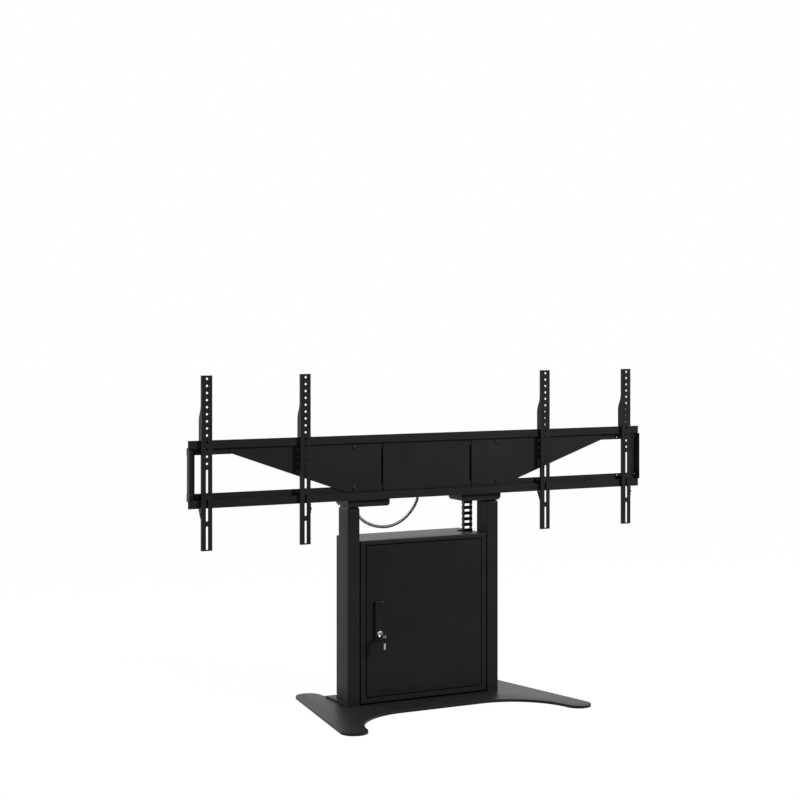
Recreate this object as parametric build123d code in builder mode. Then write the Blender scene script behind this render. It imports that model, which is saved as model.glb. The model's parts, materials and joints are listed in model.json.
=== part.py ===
"""A floor-standing lift for a large flat display, at its lowest stop.

X runs to the viewer's right, Y to the back and Z up, in millimetres. The origin is on the floor
in the middle of the foot plate, and the display arms' front faces lie in the plane Y = 0.
"""
import os
from math import cos, pi, sin, sqrt

from build123d import *

os.makedirs("parts", exist_ok=True)

# Sheet, clearances and fasteners
run_gap = 0.3
bolt_gap = 0.4
cut_over = 5.0
m8_r = 4.0
m8_head_r = 7.2
m8_head_h = 5.0
m8_nut_r = 7.4
m8_nut_h = 6.5
m8_bolt_count = 8
m5_r = 2.5
m5_head_r = 4.6
m5_head_h = 2.6
m5_nut_r = 4.5
m5_nut_h = 4.0
head_edge_r = 1.2

# Foot plate: two round tips in front, two behind, joined by straight sides
plate_t = 10.0
plate_half_depth = 346.0
foot_r = 50.0
front_foot_x = 468.2
rear_foot_x = 364.7
plate_front_y = -95.5
plate_rear_y = 266.0
cove_r = 250.0
column_screw_share = 1 / 3
rear_cove_r = 15.0

# Chassis plate on the foot plate
chassis_t = 6.0
chassis_front_y = 60.0
chassis_rear_y = 238.0
chassis_side_reach = 20.0

# Outer columns with their collars
column_x = 300.0
column_w = 50.0
column_depth = 80.0
column_front_y = 41.0
column_top_z = 741.0
column_wall = 2.5
column_corner_r = 4.0
collar_h = 9.0
collar_inset = 5.0
collar_rim = 2.2
collar_sleeve_h = 60.0

# Inner columns, glides, spindles, nuts and the lift's travel
travel = 500.0
inner_wall = 2.0
inner_bottom_z = 60.0
glide_h = 40.0
spindle_r = 7.0
spindle_bottom_z = 135.0
spindle_seat = 18.0
nut_r = 13.0
nut_h = 40.0
nut_bottom_z = 640.0
nut_tube_wall = 2.5
foot_block_h = 14.0

# Cabinet between the columns
cabinet_side_gap = 4.5
cabinet_rear_y = 248.0
cabinet_top_z = 622.4
sheet_t = 2.0
frame_bottom_z = 18.0
frame_lip_h = 10.0
frame_lip_r = 5.0
opening_side_w = 19.5
opening_bottom_z = 35.8
opening_top_z = 606.3
opening_fold = 7.0

# Door in the cabinet's front frame
door_gap = 4.0
door_proud = 1.3
door_sheet_t = 1.5
door_fold = 10.3
door_edge_r = 1.0
hinge_inset = 7.0
hinge_depth = 4.5
hinge_pin_r = 2.5
hinge_pin_h = 12.0
hinge_leaf_w = 19.0
hinge_leaf_t = 2.0

# Door lever, latch, lock and keys
lever_inset = 53.5
lever_w = 33.0
lever_bottom_z = 249.0
lever_top_z = 394.0
lever_front_y = 28.0
lever_plate_t = 3.0
lever_corner_r = 3.0
lever_edge_r = 2.1
lever_pivot_drop = 22.0
shaft_r = 5.0
cam_w = 18.0
cam_t = 3.0
cam_reach = 64.0
lock_rise = 25.4
lock_r = 9.5
lock_depth = 8.0
lock_rim = 1.4
key_slot_w = 5.2
key_slot_t = 2.2
blade_w = 4.6
blade_t = 1.6
blade_l = 22.0
spare_blade_w = 7.0
key_head_w = 20.0
key_head_l = 22.0
key_head_t = 2.6
key_head_corner_r = 6.6
key_hole_r = 4.6
key_bridge = 3.0
ring_r = 8.0
ring_wire_r = 0.8
ring_play = 0.8

# Cable hole in the cabinet's top and the chain that runs through it
hole_inset = 34.5
hole_y = 145.0
hole_r = 32.0
trim_wall = 1.2
trim_lip = 1.5
trim_lip_h = 1.0
trim_edge_r = 0.3
chain_offset = 9.0
chain_front_y = 134.0
chain_w = 38.0
chain_depth = 18.0
chain_pitch = 22.0
chain_links = 32
chain_plate_t = 2.4
chain_rung_h = 11.0
chain_overlap = 8.0
chain_top_z = 834.0
bracket_t = 3.0
bracket_w = 46.0
bracket_h = 34.0

# Rails: two Z-sections, mirrored about the beam's middle height
rail_mid_z = 898.25
rail_half = 966.4
rail_t = 3.0
rail_front_y = 12.5
rail_back_y = 29.0
rail_ledge = 91.55
rail_lip = 28.9
rail_rear_reach = 26.4
rail_bolt_rise = 75.7
rail_hole_inset = 93.9
rail_hole_r = 2.5

# Wings and centre panel in front of the beam
wing_end_gap = 159.4
wing_tip_slant = 6.7
wing_tip_step = 11.0
wing_toe_reach = 54.5
wing_flat_reach = 38.0
wing_edge_gap = 25.7
wing_top_drop = 0.8
wing_tip_h = 21.5
wing_bottom_rise = 1.3
wing_toe_h = 5.8
panel_gap = 9.3
panel_screw_x = 32.6
panel_screw_rise = 22.75
fold_depth = 12.0
fold_margin = 25.0
wing_bolt_offset = 9.0
wing_screw_spacing = 88.0

# End brackets of the rails
end_bracket_half_h = 91.2
end_bracket_front_y = 2.5
end_bracket_w = 28.4
end_bolt_inset = 13.0

# Beam tray behind the wings, and the column heads in it
tray_end_reach = 35.0
tray_bottom_z = 808.0
tray_top_z = 988.0
tray_rear_y = 116.0
tray_t = 2.0
tray_lip = 24.0
head_w = 56.0
head_t = 4.0
head_base_depth = 76.0
head_rib_t = 3.0
head_rib_rise = 90.0
gear_bolt_half_x = 21.0
gear_bolt_half_y = 24.0

# Motor housings, gearboxes and motors
housing_inner_reach = 144.6
housing_outer_reach = 29.5
housing_front_y = 30.0
housing_rear_y = 130.0
housing_bottom_z = 751.0
housing_wall = 2.5
housing_chamfer = 9.0
housing_round = 12.0
gearbox_depth = 60.0
gearbox_bottom_z = 765.0
motor_r = 21.0
motor_l = 92.0
motor_boss_r = 11.0
motor_boss_l = 6.0
motor_drop = 5.0

# Control box with its power inlet
control_half_w = 120.0
control_front_y = 60.0
control_bottom_z = 840.0
control_top_z = 960.0
standoff_r = 5.0
inlet_x = 60.0
inlet_z = 824.0
inlet_w = 50.0
inlet_h = 26.0
inlet_body_w = 28.0
inlet_body_h = 20.0
inlet_body_l = 22.0
inlet_wall = 2.0
inlet_flange_t = 3.0

# Curly motor cable: its route lies in one upright plane
cable_y = 80.0
cable_wire_r = 2.3
cable_curl_r = 4.1
cable_pitch = 7.5
cable_lead = 20.0
cable_start_inset = 32.0
cable_end_x = -4.0
cable_route_shares = (0.9925, 0.8657, 0.7164, 0.5448, 0.3881, 0.2313, 0.1007, 0.0299)
cable_route_zs = (714.0, 686.0, 670.0, 664.0, 672.5, 694.0, 731.0, 766.0)
bend_share = 0.45
heading_share = 1 / 500
nearly_zero = 1e-9
samples_a_turn = 24
gland_r = 8.5
gland_h = 12.0
gland_tip_r = 6.0
gland_tip_h = 7.0

# Display arms, from left to right, each with a lock plate on one side
arm_end_gap = 66.2
inner_arm_x = 516.0
arm_lock_sides = (-1, 1, -1, 1)
arm_w = 40.0
arm_t = 2.0
arm_l = 620.0
arm_top_z = 1248.8
arm_depth = 11.0
hook_depth = 30.0
hook_top_z = 1150.0
hook_full_z = 1080.0
hook_gap_y = 0.7
hook_rise = 3.2
round_hole_r = 4.25
round_hole_pitch = 25.0
round_hole_count = 13
round_hole_drop = 12.0
slot_l = 83.0
slot_w = 8.0
slot_pitch = 100.0
slot_count = 3
slot_drop = 374.5
lock_plate_t = 2.0
lock_plate_h = 35.3
lock_plate_foot = 9.0
lock_plate_tip_y = 26.0
lock_plate_tip_h = 5.3
lock_plate_inset = 1.0
lock_screw_drop = 19.0
lock_screw_y = 5.5


def write(piece, name):
    """Label a finished piece and write it to its own file."""
    piece.part.label = name
    export_step(piece.part, f"parts/{name}.step")


def upright(y):
    """The upright plane that faces the viewer at depth y."""
    return Plane.XZ.offset(-y)


# Places that follow from the sizes above
chassis_half_w = column_x + chassis_side_reach
cabinet_half_w = column_x - column_w / 2 - cabinet_side_gap
opening_half_w = cabinet_half_w - opening_side_w
lever_x = lever_inset - opening_half_w
hole_x = cabinet_half_w - hole_inset
chain_x = hole_x + chain_offset
rail_hole_x = rail_half - rail_hole_inset
wing_tip_x = rail_half - wing_end_gap
wing_top_x = wing_tip_x - wing_tip_slant
wing_heel_x = wing_tip_x - wing_tip_step
wing_toe_x = column_x + wing_toe_reach
wing_flat_x = column_x + wing_flat_reach
wing_bolt_x = column_x + wing_bolt_offset
wing_screw_x = wing_bolt_x - wing_screw_spacing
wing_inner_x = wing_screw_x - wing_edge_gap
panel_half_w = wing_inner_x - panel_gap
tray_half_w = column_x + tray_end_reach
housing_inner_x = column_x - housing_inner_reach
housing_outer_x = column_x + housing_outer_reach
cable_start_x = cable_start_inset - column_x
outer_arm_x = rail_half - arm_end_gap
arm_places = (-outer_arm_x, -inner_arm_x, inner_arm_x, outer_arm_x)
column_y = column_front_y + column_depth / 2
column_bore_w = column_w - 2 * column_wall
column_bore_depth = column_depth - 2 * column_wall
sleeve_inset = collar_inset + collar_rim
sleeve_bore_w = column_w - 2 * sleeve_inset
sleeve_bore_depth = column_depth - 2 * sleeve_inset
inner_w = sleeve_bore_w - 2 * run_gap
inner_depth = sleeve_bore_depth - 2 * run_gap
inner_corner_r = column_corner_r - column_wall
column_rear_y = column_front_y + column_depth
plate_top_z = plate_t
chassis_top_z = plate_t + chassis_t
cabinet_front_y = column_front_y
lid_bottom_z = cabinet_top_z - sheet_t
frame_top_z = cabinet_top_z - frame_lip_h
gearbox_top_z = tray_bottom_z
gearbox_w = 2 * (housing_outer_x - housing_wall - run_gap - column_x)
rail_bolt_zs = (rail_mid_z - rail_bolt_rise, rail_mid_z + rail_bolt_rise)
wing_front_y = rail_back_y - 2 * rail_t
flange_y = rail_back_y - rail_t
sides = (("left", -1), ("right", 1))


# Foot plate
cove_y = plate_front_y - cove_r
front_foot_y = foot_r - plate_half_depth
rear_foot_y = plate_half_depth - foot_r
cove_x = front_foot_x - sqrt((cove_r + foot_r) ** 2 - (front_foot_y - cove_y) ** 2)
cove_end_y = min(cove_y, -plate_half_depth) - cut_over
rear_inner_x = rear_foot_x - foot_r
chassis_screw_places = [(s * x, y) for s in (-1, 1) for x, y in
                        ((chassis_half_w / 2, chassis_front_y + foot_r / 2),
                         (chassis_half_w / 2, chassis_rear_y - foot_r / 2),
                         (chassis_half_w - foot_r / 2, chassis_rear_y - foot_r / 2))]
column_screw_places = [(s * column_x, column_y + t * column_screw_share * column_bore_depth)
                       for s in (-1, 1) for t in (-1, 1)]
screw_places = chassis_screw_places + column_screw_places
sink_h = m8_head_r - m8_r

with BuildPart() as base_plate:
    with BuildSketch(Plane.XY) as plate_outline:
        with Locations((-front_foot_x, front_foot_y), (front_foot_x, front_foot_y),
                       (-rear_foot_x, rear_foot_y), (rear_foot_x, rear_foot_y)):
            Circle(foot_r)
        make_hull()
        with Locations((-cove_x, cove_y), (cove_x, cove_y)):
            Circle(cove_r, mode=Mode.SUBTRACT)
        with Locations((0, plate_front_y)):
            Rectangle(2 * cove_x, 2 * plate_half_depth, align=(Align.CENTER, Align.MAX), mode=Mode.SUBTRACT)
        for s in (-1, 1):
            with BuildLine():
                Polyline((s * cove_x, cove_y), (s * front_foot_x, front_foot_y),
                         (s * front_foot_x, cove_end_y), (s * cove_x, cove_end_y), close=True)
            make_face(mode=Mode.SUBTRACT)
        with Locations((0, rear_foot_y)):
            Rectangle(2 * rear_foot_x, foot_r + cut_over, align=(Align.CENTER, Align.MIN), mode=Mode.SUBTRACT)
        with Locations((0, plate_rear_y)):
            Rectangle(2 * rear_inner_x, plate_half_depth, align=(Align.CENTER, Align.MIN), mode=Mode.SUBTRACT)
        with Locations((-front_foot_x, front_foot_y), (front_foot_x, front_foot_y),
                       (-rear_foot_x, rear_foot_y), (rear_foot_x, rear_foot_y)):
            Circle(foot_r)
        inner_corners = [v for v in plate_outline.vertices() if abs(v.Y - plate_rear_y) < run_gap
                         and abs(abs(v.X) - rear_inner_x) < run_gap]
        fillet(inner_corners, rear_cove_r)
    extrude(amount=plate_t)
    fillet(base_plate.faces().sort_by(Axis.Z)[-1].outer_wire().edges(), head_edge_r)
    with Locations(*[(x, y, 0) for x, y in screw_places]):
        Cylinder(m8_r + bolt_gap, plate_t, align=(Align.CENTER, Align.CENTER, Align.MIN), mode=Mode.SUBTRACT)
        Cone(m8_head_r + bolt_gap, m8_r + bolt_gap, sink_h, align=(Align.CENTER, Align.CENTER, Align.MIN),
             mode=Mode.SUBTRACT)
write(base_plate, "base_plate")

with BuildPart() as base_screws:
    with Locations(*[(x, y, run_gap) for x, y in screw_places]):
        Cone(m8_head_r, m8_r, sink_h, align=(Align.CENTER, Align.CENTER, Align.MIN))
        Cylinder(m8_r, chassis_top_z - run_gap, align=(Align.CENTER, Align.CENTER, Align.MIN))
write(base_screws, "base_screws")

# Chassis plate, narrower beside the columns and wide behind them
chassis_neck = column_x - column_w / 2
with BuildPart() as chassis_plate:
    with BuildSketch(Plane.XY.offset(plate_top_z)):
        with Locations((0, chassis_front_y)):
            Rectangle(2 * chassis_neck, chassis_rear_y - chassis_front_y, align=(Align.CENTER, Align.MIN))
        with Locations((0, column_rear_y)):
            Rectangle(2 * chassis_half_w, chassis_rear_y - column_rear_y, align=(Align.CENTER, Align.MIN))
        with Locations(*chassis_screw_places):
            Circle(m8_r + bolt_gap, mode=Mode.SUBTRACT)
    extrude(amount=chassis_t)
write(chassis_plate, "chassis_plate")

# Columns: outer tube, and tapered collar with its guide sleeve
for side, s in sides:
    with BuildPart() as column_tube:
        with BuildSketch(Plane.XY.offset(plate_top_z)):
            with Locations((s * column_x, column_y)):
                RectangleRounded(column_w, column_depth, column_corner_r)
                RectangleRounded(column_bore_w, column_bore_depth, inner_corner_r, mode=Mode.SUBTRACT)
        extrude(amount=column_top_z - plate_top_z)
    write(column_tube, f"column_tube_{side}")

    with BuildPart() as column_collar:
        with BuildSketch(Plane.XY.offset(column_top_z)):
            with Locations((s * column_x, column_y)):
                RectangleRounded(column_w, column_depth, column_corner_r)
        with BuildSketch(Plane.XY.offset(column_top_z + collar_h)):
            with Locations((s * column_x, column_y)):
                RectangleRounded(column_w - 2 * collar_inset, column_depth - 2 * collar_inset, inner_corner_r)
        loft()
        with BuildSketch(Plane.XY.offset(column_top_z)):
            with Locations((s * column_x, column_y)):
                RectangleRounded(column_bore_w, column_bore_depth, inner_corner_r)
        extrude(amount=-collar_sleeve_h)
        with BuildSketch(Plane.XY.offset(column_top_z + collar_h)):
            with Locations((s * column_x, column_y)):
                RectangleRounded(sleeve_bore_w, sleeve_bore_depth, inner_corner_r)
        extrude(amount=-collar_h - collar_sleeve_h, mode=Mode.SUBTRACT)
    write(column_collar, f"column_collar_{side}")

# Nut tubes stand on foot blocks inside the columns and carry the spindle nuts
with BuildPart() as nut_tubes:
    for s in (-1, 1):
        with BuildSketch(Plane.XY.offset(plate_top_z)):
            with Locations((s * column_x, column_y)):
                RectangleRounded(column_bore_w - 2 * run_gap, column_bore_depth - 2 * run_gap, inner_corner_r)
        extrude(amount=foot_block_h)
        with Locations((s * column_x, column_y, plate_top_z + foot_block_h)):
            Cylinder(nut_r, nut_bottom_z - plate_top_z - foot_block_h,
                     align=(Align.CENTER, Align.CENTER, Align.MIN))
        with Locations((s * column_x, column_y, nut_bottom_z)):
            Cylinder(nut_r - nut_tube_wall, nut_bottom_z - plate_top_z - foot_block_h,
                     align=(Align.CENTER, Align.CENTER, Align.MAX), mode=Mode.SUBTRACT)
    with Locations(*[(x, y, plate_top_z) for x, y in column_screw_places]):
        Cylinder(m8_r + bolt_gap, foot_block_h, align=(Align.CENTER, Align.CENTER, Align.MIN),
                 mode=Mode.SUBTRACT)
write(nut_tubes, "nut_tubes")

with BuildPart() as spindle_nuts:
    with Locations((-column_x, column_y, nut_bottom_z), (column_x, column_y, nut_bottom_z)):
        Cylinder(nut_r, nut_h, align=(Align.CENTER, Align.CENTER, Align.MIN))
        Cylinder(spindle_r + run_gap, nut_h, align=(Align.CENTER, Align.CENTER, Align.MIN),
                 mode=Mode.SUBTRACT)
write(spindle_nuts, "spindle_nuts")

# Cabinet: front frame with a folded opening, two sides, back, floor and lid
opening_h = opening_top_z - opening_bottom_z
opening_mid_z = (opening_top_z + opening_bottom_z) / 2
frame_back_y = cabinet_front_y + sheet_t
with BuildPart() as cabinet_front_frame:
    with BuildSketch(upright(cabinet_front_y)):
        with Locations((0, frame_bottom_z)):
            Rectangle(2 * cabinet_half_w, frame_top_z - frame_bottom_z, align=(Align.CENTER, Align.MIN))
        with Locations((0, opening_mid_z)):
            Rectangle(2 * opening_half_w, opening_h, mode=Mode.SUBTRACT)
    extrude(amount=-sheet_t)
    with BuildSketch(upright(cabinet_front_y)):
        with Locations((0, opening_mid_z)):
            Rectangle(2 * (opening_half_w + sheet_t), opening_h + 2 * sheet_t)
            Rectangle(2 * opening_half_w, opening_h, mode=Mode.SUBTRACT)
    extrude(amount=-sheet_t - opening_fold)
write(cabinet_front_frame, "cabinet_front_frame")

inside_half_w = cabinet_half_w - sheet_t
inside_rear_y = cabinet_rear_y - sheet_t
lip_mid_y = cabinet_front_y + frame_lip_r
for side, s in sides:
    with BuildPart() as cabinet_side:
        with BuildSketch(Plane.YZ.offset(s * inside_half_w)):
            with BuildLine():
                Polyline((frame_back_y, chassis_top_z), (inside_rear_y, chassis_top_z),
                         (inside_rear_y, lid_bottom_z), (lip_mid_y, lid_bottom_z),
                         (frame_back_y, cabinet_top_z - frame_lip_r), close=True)
            make_face()
        extrude(amount=s * sheet_t)
    write(cabinet_side, f"cabinet_side_{side}")

with BuildPart() as cabinet_back:
    with BuildSketch(upright(inside_rear_y)):
        with Locations((0, chassis_top_z)):
            Rectangle(2 * cabinet_half_w, lid_bottom_z - chassis_top_z, align=(Align.CENTER, Align.MIN))
    extrude(amount=-sheet_t)
write(cabinet_back, "cabinet_back")

with BuildPart() as cabinet_floor:
    with BuildSketch(Plane.XY.offset(chassis_top_z)):
        with Locations((0, frame_back_y)):
            Rectangle(2 * inside_half_w, inside_rear_y - frame_back_y, align=(Align.CENTER, Align.MIN))
    extrude(amount=sheet_t)
write(cabinet_floor, "cabinet_floor")

with BuildPart() as cabinet_lid:
    with BuildSketch(Plane.YZ.offset(-cabinet_half_w)):
        with BuildLine():
            Line((cabinet_front_y, frame_top_z), (cabinet_front_y, cabinet_top_z - frame_lip_r))
            ThreePointArc((cabinet_front_y, cabinet_top_z - frame_lip_r),
                          (lip_mid_y - frame_lip_r * cos(pi / 4),
                           cabinet_top_z - frame_lip_r + frame_lip_r * sin(pi / 4)),
                          (lip_mid_y, cabinet_top_z))
            Polyline((lip_mid_y, cabinet_top_z), (cabinet_rear_y, cabinet_top_z),
                     (cabinet_rear_y, lid_bottom_z), (lip_mid_y, lid_bottom_z))
            ThreePointArc((lip_mid_y, lid_bottom_z),
                          (lip_mid_y - (frame_lip_r - sheet_t) * cos(pi / 4),
                           cabinet_top_z - frame_lip_r + (frame_lip_r - sheet_t) * sin(pi / 4)),
                          (frame_back_y, cabinet_top_z - frame_lip_r))
            Polyline((frame_back_y, cabinet_top_z - frame_lip_r), (frame_back_y, frame_top_z),
                     (cabinet_front_y, frame_top_z))
        make_face()
    extrude(amount=2 * cabinet_half_w)
    with Locations((hole_x, hole_y, lid_bottom_z)):
        Cylinder(hole_r, sheet_t, align=(Align.CENTER, Align.CENTER, Align.MIN), mode=Mode.SUBTRACT)
write(cabinet_lid, "cabinet_lid")

with BuildPart() as cable_hole_trim:
    with Locations((hole_x, hole_y, lid_bottom_z)):
        Cylinder(hole_r, sheet_t + trim_lip_h, align=(Align.CENTER, Align.CENTER, Align.MIN))
    with Locations((hole_x, hole_y, cabinet_top_z)):
        Cylinder(hole_r + trim_lip, trim_lip_h, align=(Align.CENTER, Align.CENTER, Align.MIN))
    with Locations((hole_x, hole_y, lid_bottom_z)):
        Cylinder(hole_r - trim_wall, sheet_t + trim_lip_h, align=(Align.CENTER, Align.CENTER, Align.MIN),
                 mode=Mode.SUBTRACT)
    fillet(cable_hole_trim.edges().group_by(Axis.Z)[-1], trim_edge_r)
write(cable_hole_trim, "cable_hole_trim")

# Door: a shallow tray that swings on two pins at its right edge
door_half_w = opening_half_w - door_gap
door_bottom_z = opening_bottom_z + door_gap
door_top_z = opening_top_z - door_gap
door_front_y = cabinet_front_y - door_proud
door_mid_z = (door_bottom_z + door_top_z) / 2
hinge_x = opening_half_w - hinge_inset
hinge_y = cabinet_front_y + hinge_depth
shaft_z = lever_top_z - lever_pivot_drop
lock_z = lever_bottom_z + lock_rise
lever_back_y = door_front_y - lever_plate_t - run_gap
with BuildPart() as door_panel:
    with BuildSketch(upright(door_front_y)):
        with Locations((0, door_mid_z)):
            RectangleRounded(2 * door_half_w, door_top_z - door_bottom_z, door_edge_r)
    extrude(amount=-door_fold)
    with BuildSketch(upright(door_front_y + door_sheet_t)):
        with Locations((0, door_mid_z)):
            Rectangle(2 * (door_half_w - door_sheet_t), door_top_z - door_bottom_z - 2 * door_sheet_t)
    extrude(amount=-door_fold, mode=Mode.SUBTRACT)
    fillet(door_panel.faces().sort_by(Axis.Y)[0].outer_wire().edges(), door_edge_r / 2)
    with BuildSketch(upright(door_front_y)):
        with Locations((lever_x, shaft_z)):
            Circle(shaft_r + run_gap)
    extrude(amount=-door_sheet_t, mode=Mode.SUBTRACT)
    with Locations((hinge_x, hinge_y, door_bottom_z)):
        Cylinder(hinge_pin_r + run_gap, door_top_z - door_bottom_z,
                 align=(Align.CENTER, Align.CENTER, Align.MIN), mode=Mode.SUBTRACT)
write(door_panel, "door_panel")

leaf_depth = opening_fold + sheet_t
with BuildPart() as hinge_pins:
    for z, way in ((opening_top_z, -1), (opening_bottom_z, 1)):
        with BuildSketch(Plane.XY.offset(z)):
            with Locations((opening_half_w, cabinet_front_y)):
                Rectangle(hinge_leaf_w, leaf_depth, align=(Align.MAX, Align.MIN))
        extrude(amount=way * hinge_leaf_t)
        with BuildSketch(Plane.XY.offset(z)):
            with Locations((hinge_x, hinge_y)):
                Circle(hinge_pin_r)
        extrude(amount=way * hinge_pin_h)
write(hinge_pins, "hinge_pins")

# Lever with its shaft, the plate under it and the latch cam behind the door
lever_mid_z = (lever_top_z + lever_bottom_z) / 2
lever_h = lever_top_z - lever_bottom_z
cam_y = cabinet_front_y + sheet_t + opening_fold + run_gap
with BuildPart() as lever_plate:
    with BuildSketch(upright(door_front_y)):
        with Locations((lever_x, lever_mid_z)):
            RectangleRounded(lever_w, lever_h, lever_corner_r)
        with Locations((lever_x, shaft_z)):
            Circle(shaft_r + run_gap, mode=Mode.SUBTRACT)
    extrude(amount=lever_plate_t)
write(lever_plate, "lever_plate")

with BuildPart() as door_lever:
    with BuildSketch(upright(lever_front_y)):
        with Locations((lever_x, lever_mid_z)):
            RectangleRounded(lever_w, lever_h, lever_corner_r)
    extrude(amount=lever_front_y - lever_back_y)
    fillet(door_lever.faces().sort_by(Axis.Y)[0].outer_wire().edges(), lever_edge_r)
    with BuildSketch(upright(lever_back_y)):
        with Locations((lever_x, shaft_z)):
            Circle(shaft_r)
    extrude(amount=lever_back_y - cam_y - cam_t)
    with BuildSketch(upright(lever_front_y)):
        with Locations((lever_x, lock_z)):
            Circle(lock_r + run_gap)
    extrude(amount=-lock_depth, mode=Mode.SUBTRACT)
write(door_lever, "door_lever")

with BuildPart() as latch_cam:
    with BuildSketch(upright(cam_y)):
        with Locations((lever_x, shaft_z)):
            SlotCenterPoint((0, (cam_reach - cam_w / 2) / 2), (0, cam_reach - cam_w / 2), cam_w)
            Circle(shaft_r, mode=Mode.SUBTRACT)
    extrude(amount=-cam_t)
    with BuildSketch(upright(cam_y + cam_t)):
        with Locations((lever_x, shaft_z)):
            RegularPolygon(m8_nut_r, 6)
    extrude(amount=-m5_nut_h)
write(latch_cam, "latch_cam")

# Lock cylinder in the lever's lower end, with the key in it and a spare key on a ring
lock_front_y = lever_front_y - lock_rim
with BuildPart() as lock_cylinder:
    with BuildSketch(upright(lock_front_y)):
        with Locations((lever_x, lock_z)):
            Circle(lock_r)
    extrude(amount=-lock_depth - lock_rim + run_gap)
    fillet(lock_cylinder.faces().sort_by(Axis.Y)[0].outer_wire().edges(), lock_rim / 2)
    with BuildSketch(upright(lock_front_y)):
        with Locations((lever_x, lock_z)):
            Rectangle(key_slot_w, key_slot_t)
    extrude(amount=-lock_depth + lock_rim, mode=Mode.SUBTRACT)
write(lock_cylinder, "lock_cylinder")

blade_in = lock_depth - 2 * lock_rim
head_start_y = lock_front_y - blade_l + blade_in
head_end_y = head_start_y - key_head_l
key_hole_y = head_end_y + key_bridge + key_hole_r
with BuildPart() as lock_key:
    with BuildSketch(Plane.XY.offset(lock_z - blade_t / 2)):
        with Locations((lever_x, head_start_y)):
            Rectangle(blade_w, blade_l, align=(Align.CENTER, Align.MIN))
    extrude(amount=blade_t)
    with BuildSketch(Plane.XY.offset(lock_z - key_head_t / 2)) as key_head:
        with Locations((lever_x, head_end_y)):
            Rectangle(key_head_w, key_head_l, align=(Align.CENTER, Align.MIN))
        fillet(key_head.vertices(), key_head_corner_r)
        with Locations((lever_x, key_hole_y)):
            Circle(key_hole_r, mode=Mode.SUBTRACT)
    extrude(amount=key_head_t)
write(lock_key, "lock_key")

ring_y = head_end_y + key_bridge / 2
ring_z = lock_z + key_head_t / 2 + ring_play + ring_wire_r - ring_r
with BuildPart() as key_ring:
    with BuildSketch(Plane.XY.offset(ring_z)):
        with Locations((lever_x, ring_y + ring_r)):
            Circle(ring_wire_r)
    revolve(axis=Axis((lever_x, ring_y, ring_z), (1, 0, 0)), revolution_arc=360)
write(key_ring, "key_ring")

spare_top_z = ring_z - ring_r + ring_wire_r + run_gap + key_bridge
spare_y = ring_y - key_head_t / 2
with BuildPart() as spare_key:
    with BuildSketch(upright(spare_y)) as spare_head:
        with Locations((lever_x, spare_top_z)):
            Rectangle(key_head_w, key_head_l, align=(Align.CENTER, Align.MAX))
        fillet(spare_head.vertices(), key_head_corner_r)
        with Locations((lever_x, spare_top_z - key_bridge - key_hole_r)):
            Circle(key_hole_r, mode=Mode.SUBTRACT)
    extrude(amount=-key_head_t)
    with BuildSketch(upright(ring_y - blade_t / 2)):
        with Locations((lever_x, spare_top_z - key_head_l)):
            Rectangle(spare_blade_w, blade_l, align=(Align.CENTER, Align.MAX))
    extrude(amount=-blade_t)
write(spare_key, "spare_key")

# Rails
rail_profile = ((rail_front_y, rail_ledge), (rail_front_y, rail_ledge + rail_lip),
                (rail_front_y + rail_t, rail_ledge + rail_lip), (rail_front_y + rail_t, rail_ledge + rail_t),
                (rail_back_y, rail_ledge + rail_t), (rail_back_y, rail_ledge + rail_t - rail_rear_reach),
                (flange_y, rail_ledge + rail_t - rail_rear_reach), (flange_y, rail_ledge))
end_bolt_x = rail_half - end_bolt_inset
beam_bolt_xs = (wing_screw_x, wing_bolt_x, end_bolt_x)
beam_bolt_hole_rs = (m5_r + bolt_gap, m8_r + bolt_gap, m8_r + bolt_gap)
for name, way in (("lower_rail", -1), ("upper_rail", 1)):
    with BuildPart() as rail:
        with BuildSketch(Plane.YZ):
            with BuildLine():
                Polyline(*[(y, rail_mid_z + way * rise) for y, rise in rail_profile], close=True)
            make_face()
        extrude(amount=rail_half, both=True)
        with BuildSketch(upright(flange_y)):
            for s in (-1, 1):
                with Locations((s * rail_hole_x, rail_mid_z + way * rail_bolt_rise)):
                    Circle(rail_hole_r)
                for x, r in zip(beam_bolt_xs, beam_bolt_hole_rs):
                    with Locations((s * x, rail_mid_z + way * rail_bolt_rise)):
                        Circle(r)
        extrude(amount=-rail_t, mode=Mode.SUBTRACT)
    write(rail, name)

# Wings and centre panel, each with a fold behind its upright edge
wing_top_z = rail_mid_z + rail_ledge - wing_top_drop
wing_bottom_z = rail_mid_z - rail_ledge + wing_bottom_rise
fold_bottom_z = wing_bottom_z + fold_margin
fold_h = wing_top_z - wing_bottom_z - 2 * fold_margin
for side, s in sides:
    with BuildPart() as wing:
        with BuildSketch(upright(wing_front_y)):
            with BuildLine():
                Polyline((s * wing_inner_x, wing_top_z), (s * wing_top_x, wing_top_z),
                         (s * wing_tip_x, wing_top_z - wing_tip_h),
                         (s * wing_heel_x, wing_top_z - wing_tip_h),
                         (s * wing_toe_x, wing_bottom_z + wing_toe_h), (s * wing_flat_x, wing_bottom_z),
                         (s * wing_inner_x, wing_bottom_z), close=True)
            make_face()
            for z in rail_bolt_zs:
                with Locations((s * wing_bolt_x, z)):
                    Circle(m8_r + bolt_gap, mode=Mode.SUBTRACT)
                with Locations((s * wing_screw_x, z)):
                    Circle(m5_r + bolt_gap, mode=Mode.SUBTRACT)
        extrude(amount=-rail_t)
        with BuildSketch(upright(wing_front_y)):
            with Locations((s * wing_inner_x, fold_bottom_z)):
                Rectangle(rail_t, fold_h, align=(Align.MIN if s > 0 else Align.MAX, Align.MIN))
        extrude(amount=-fold_depth)
    write(wing, f"{side}_wing")

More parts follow.
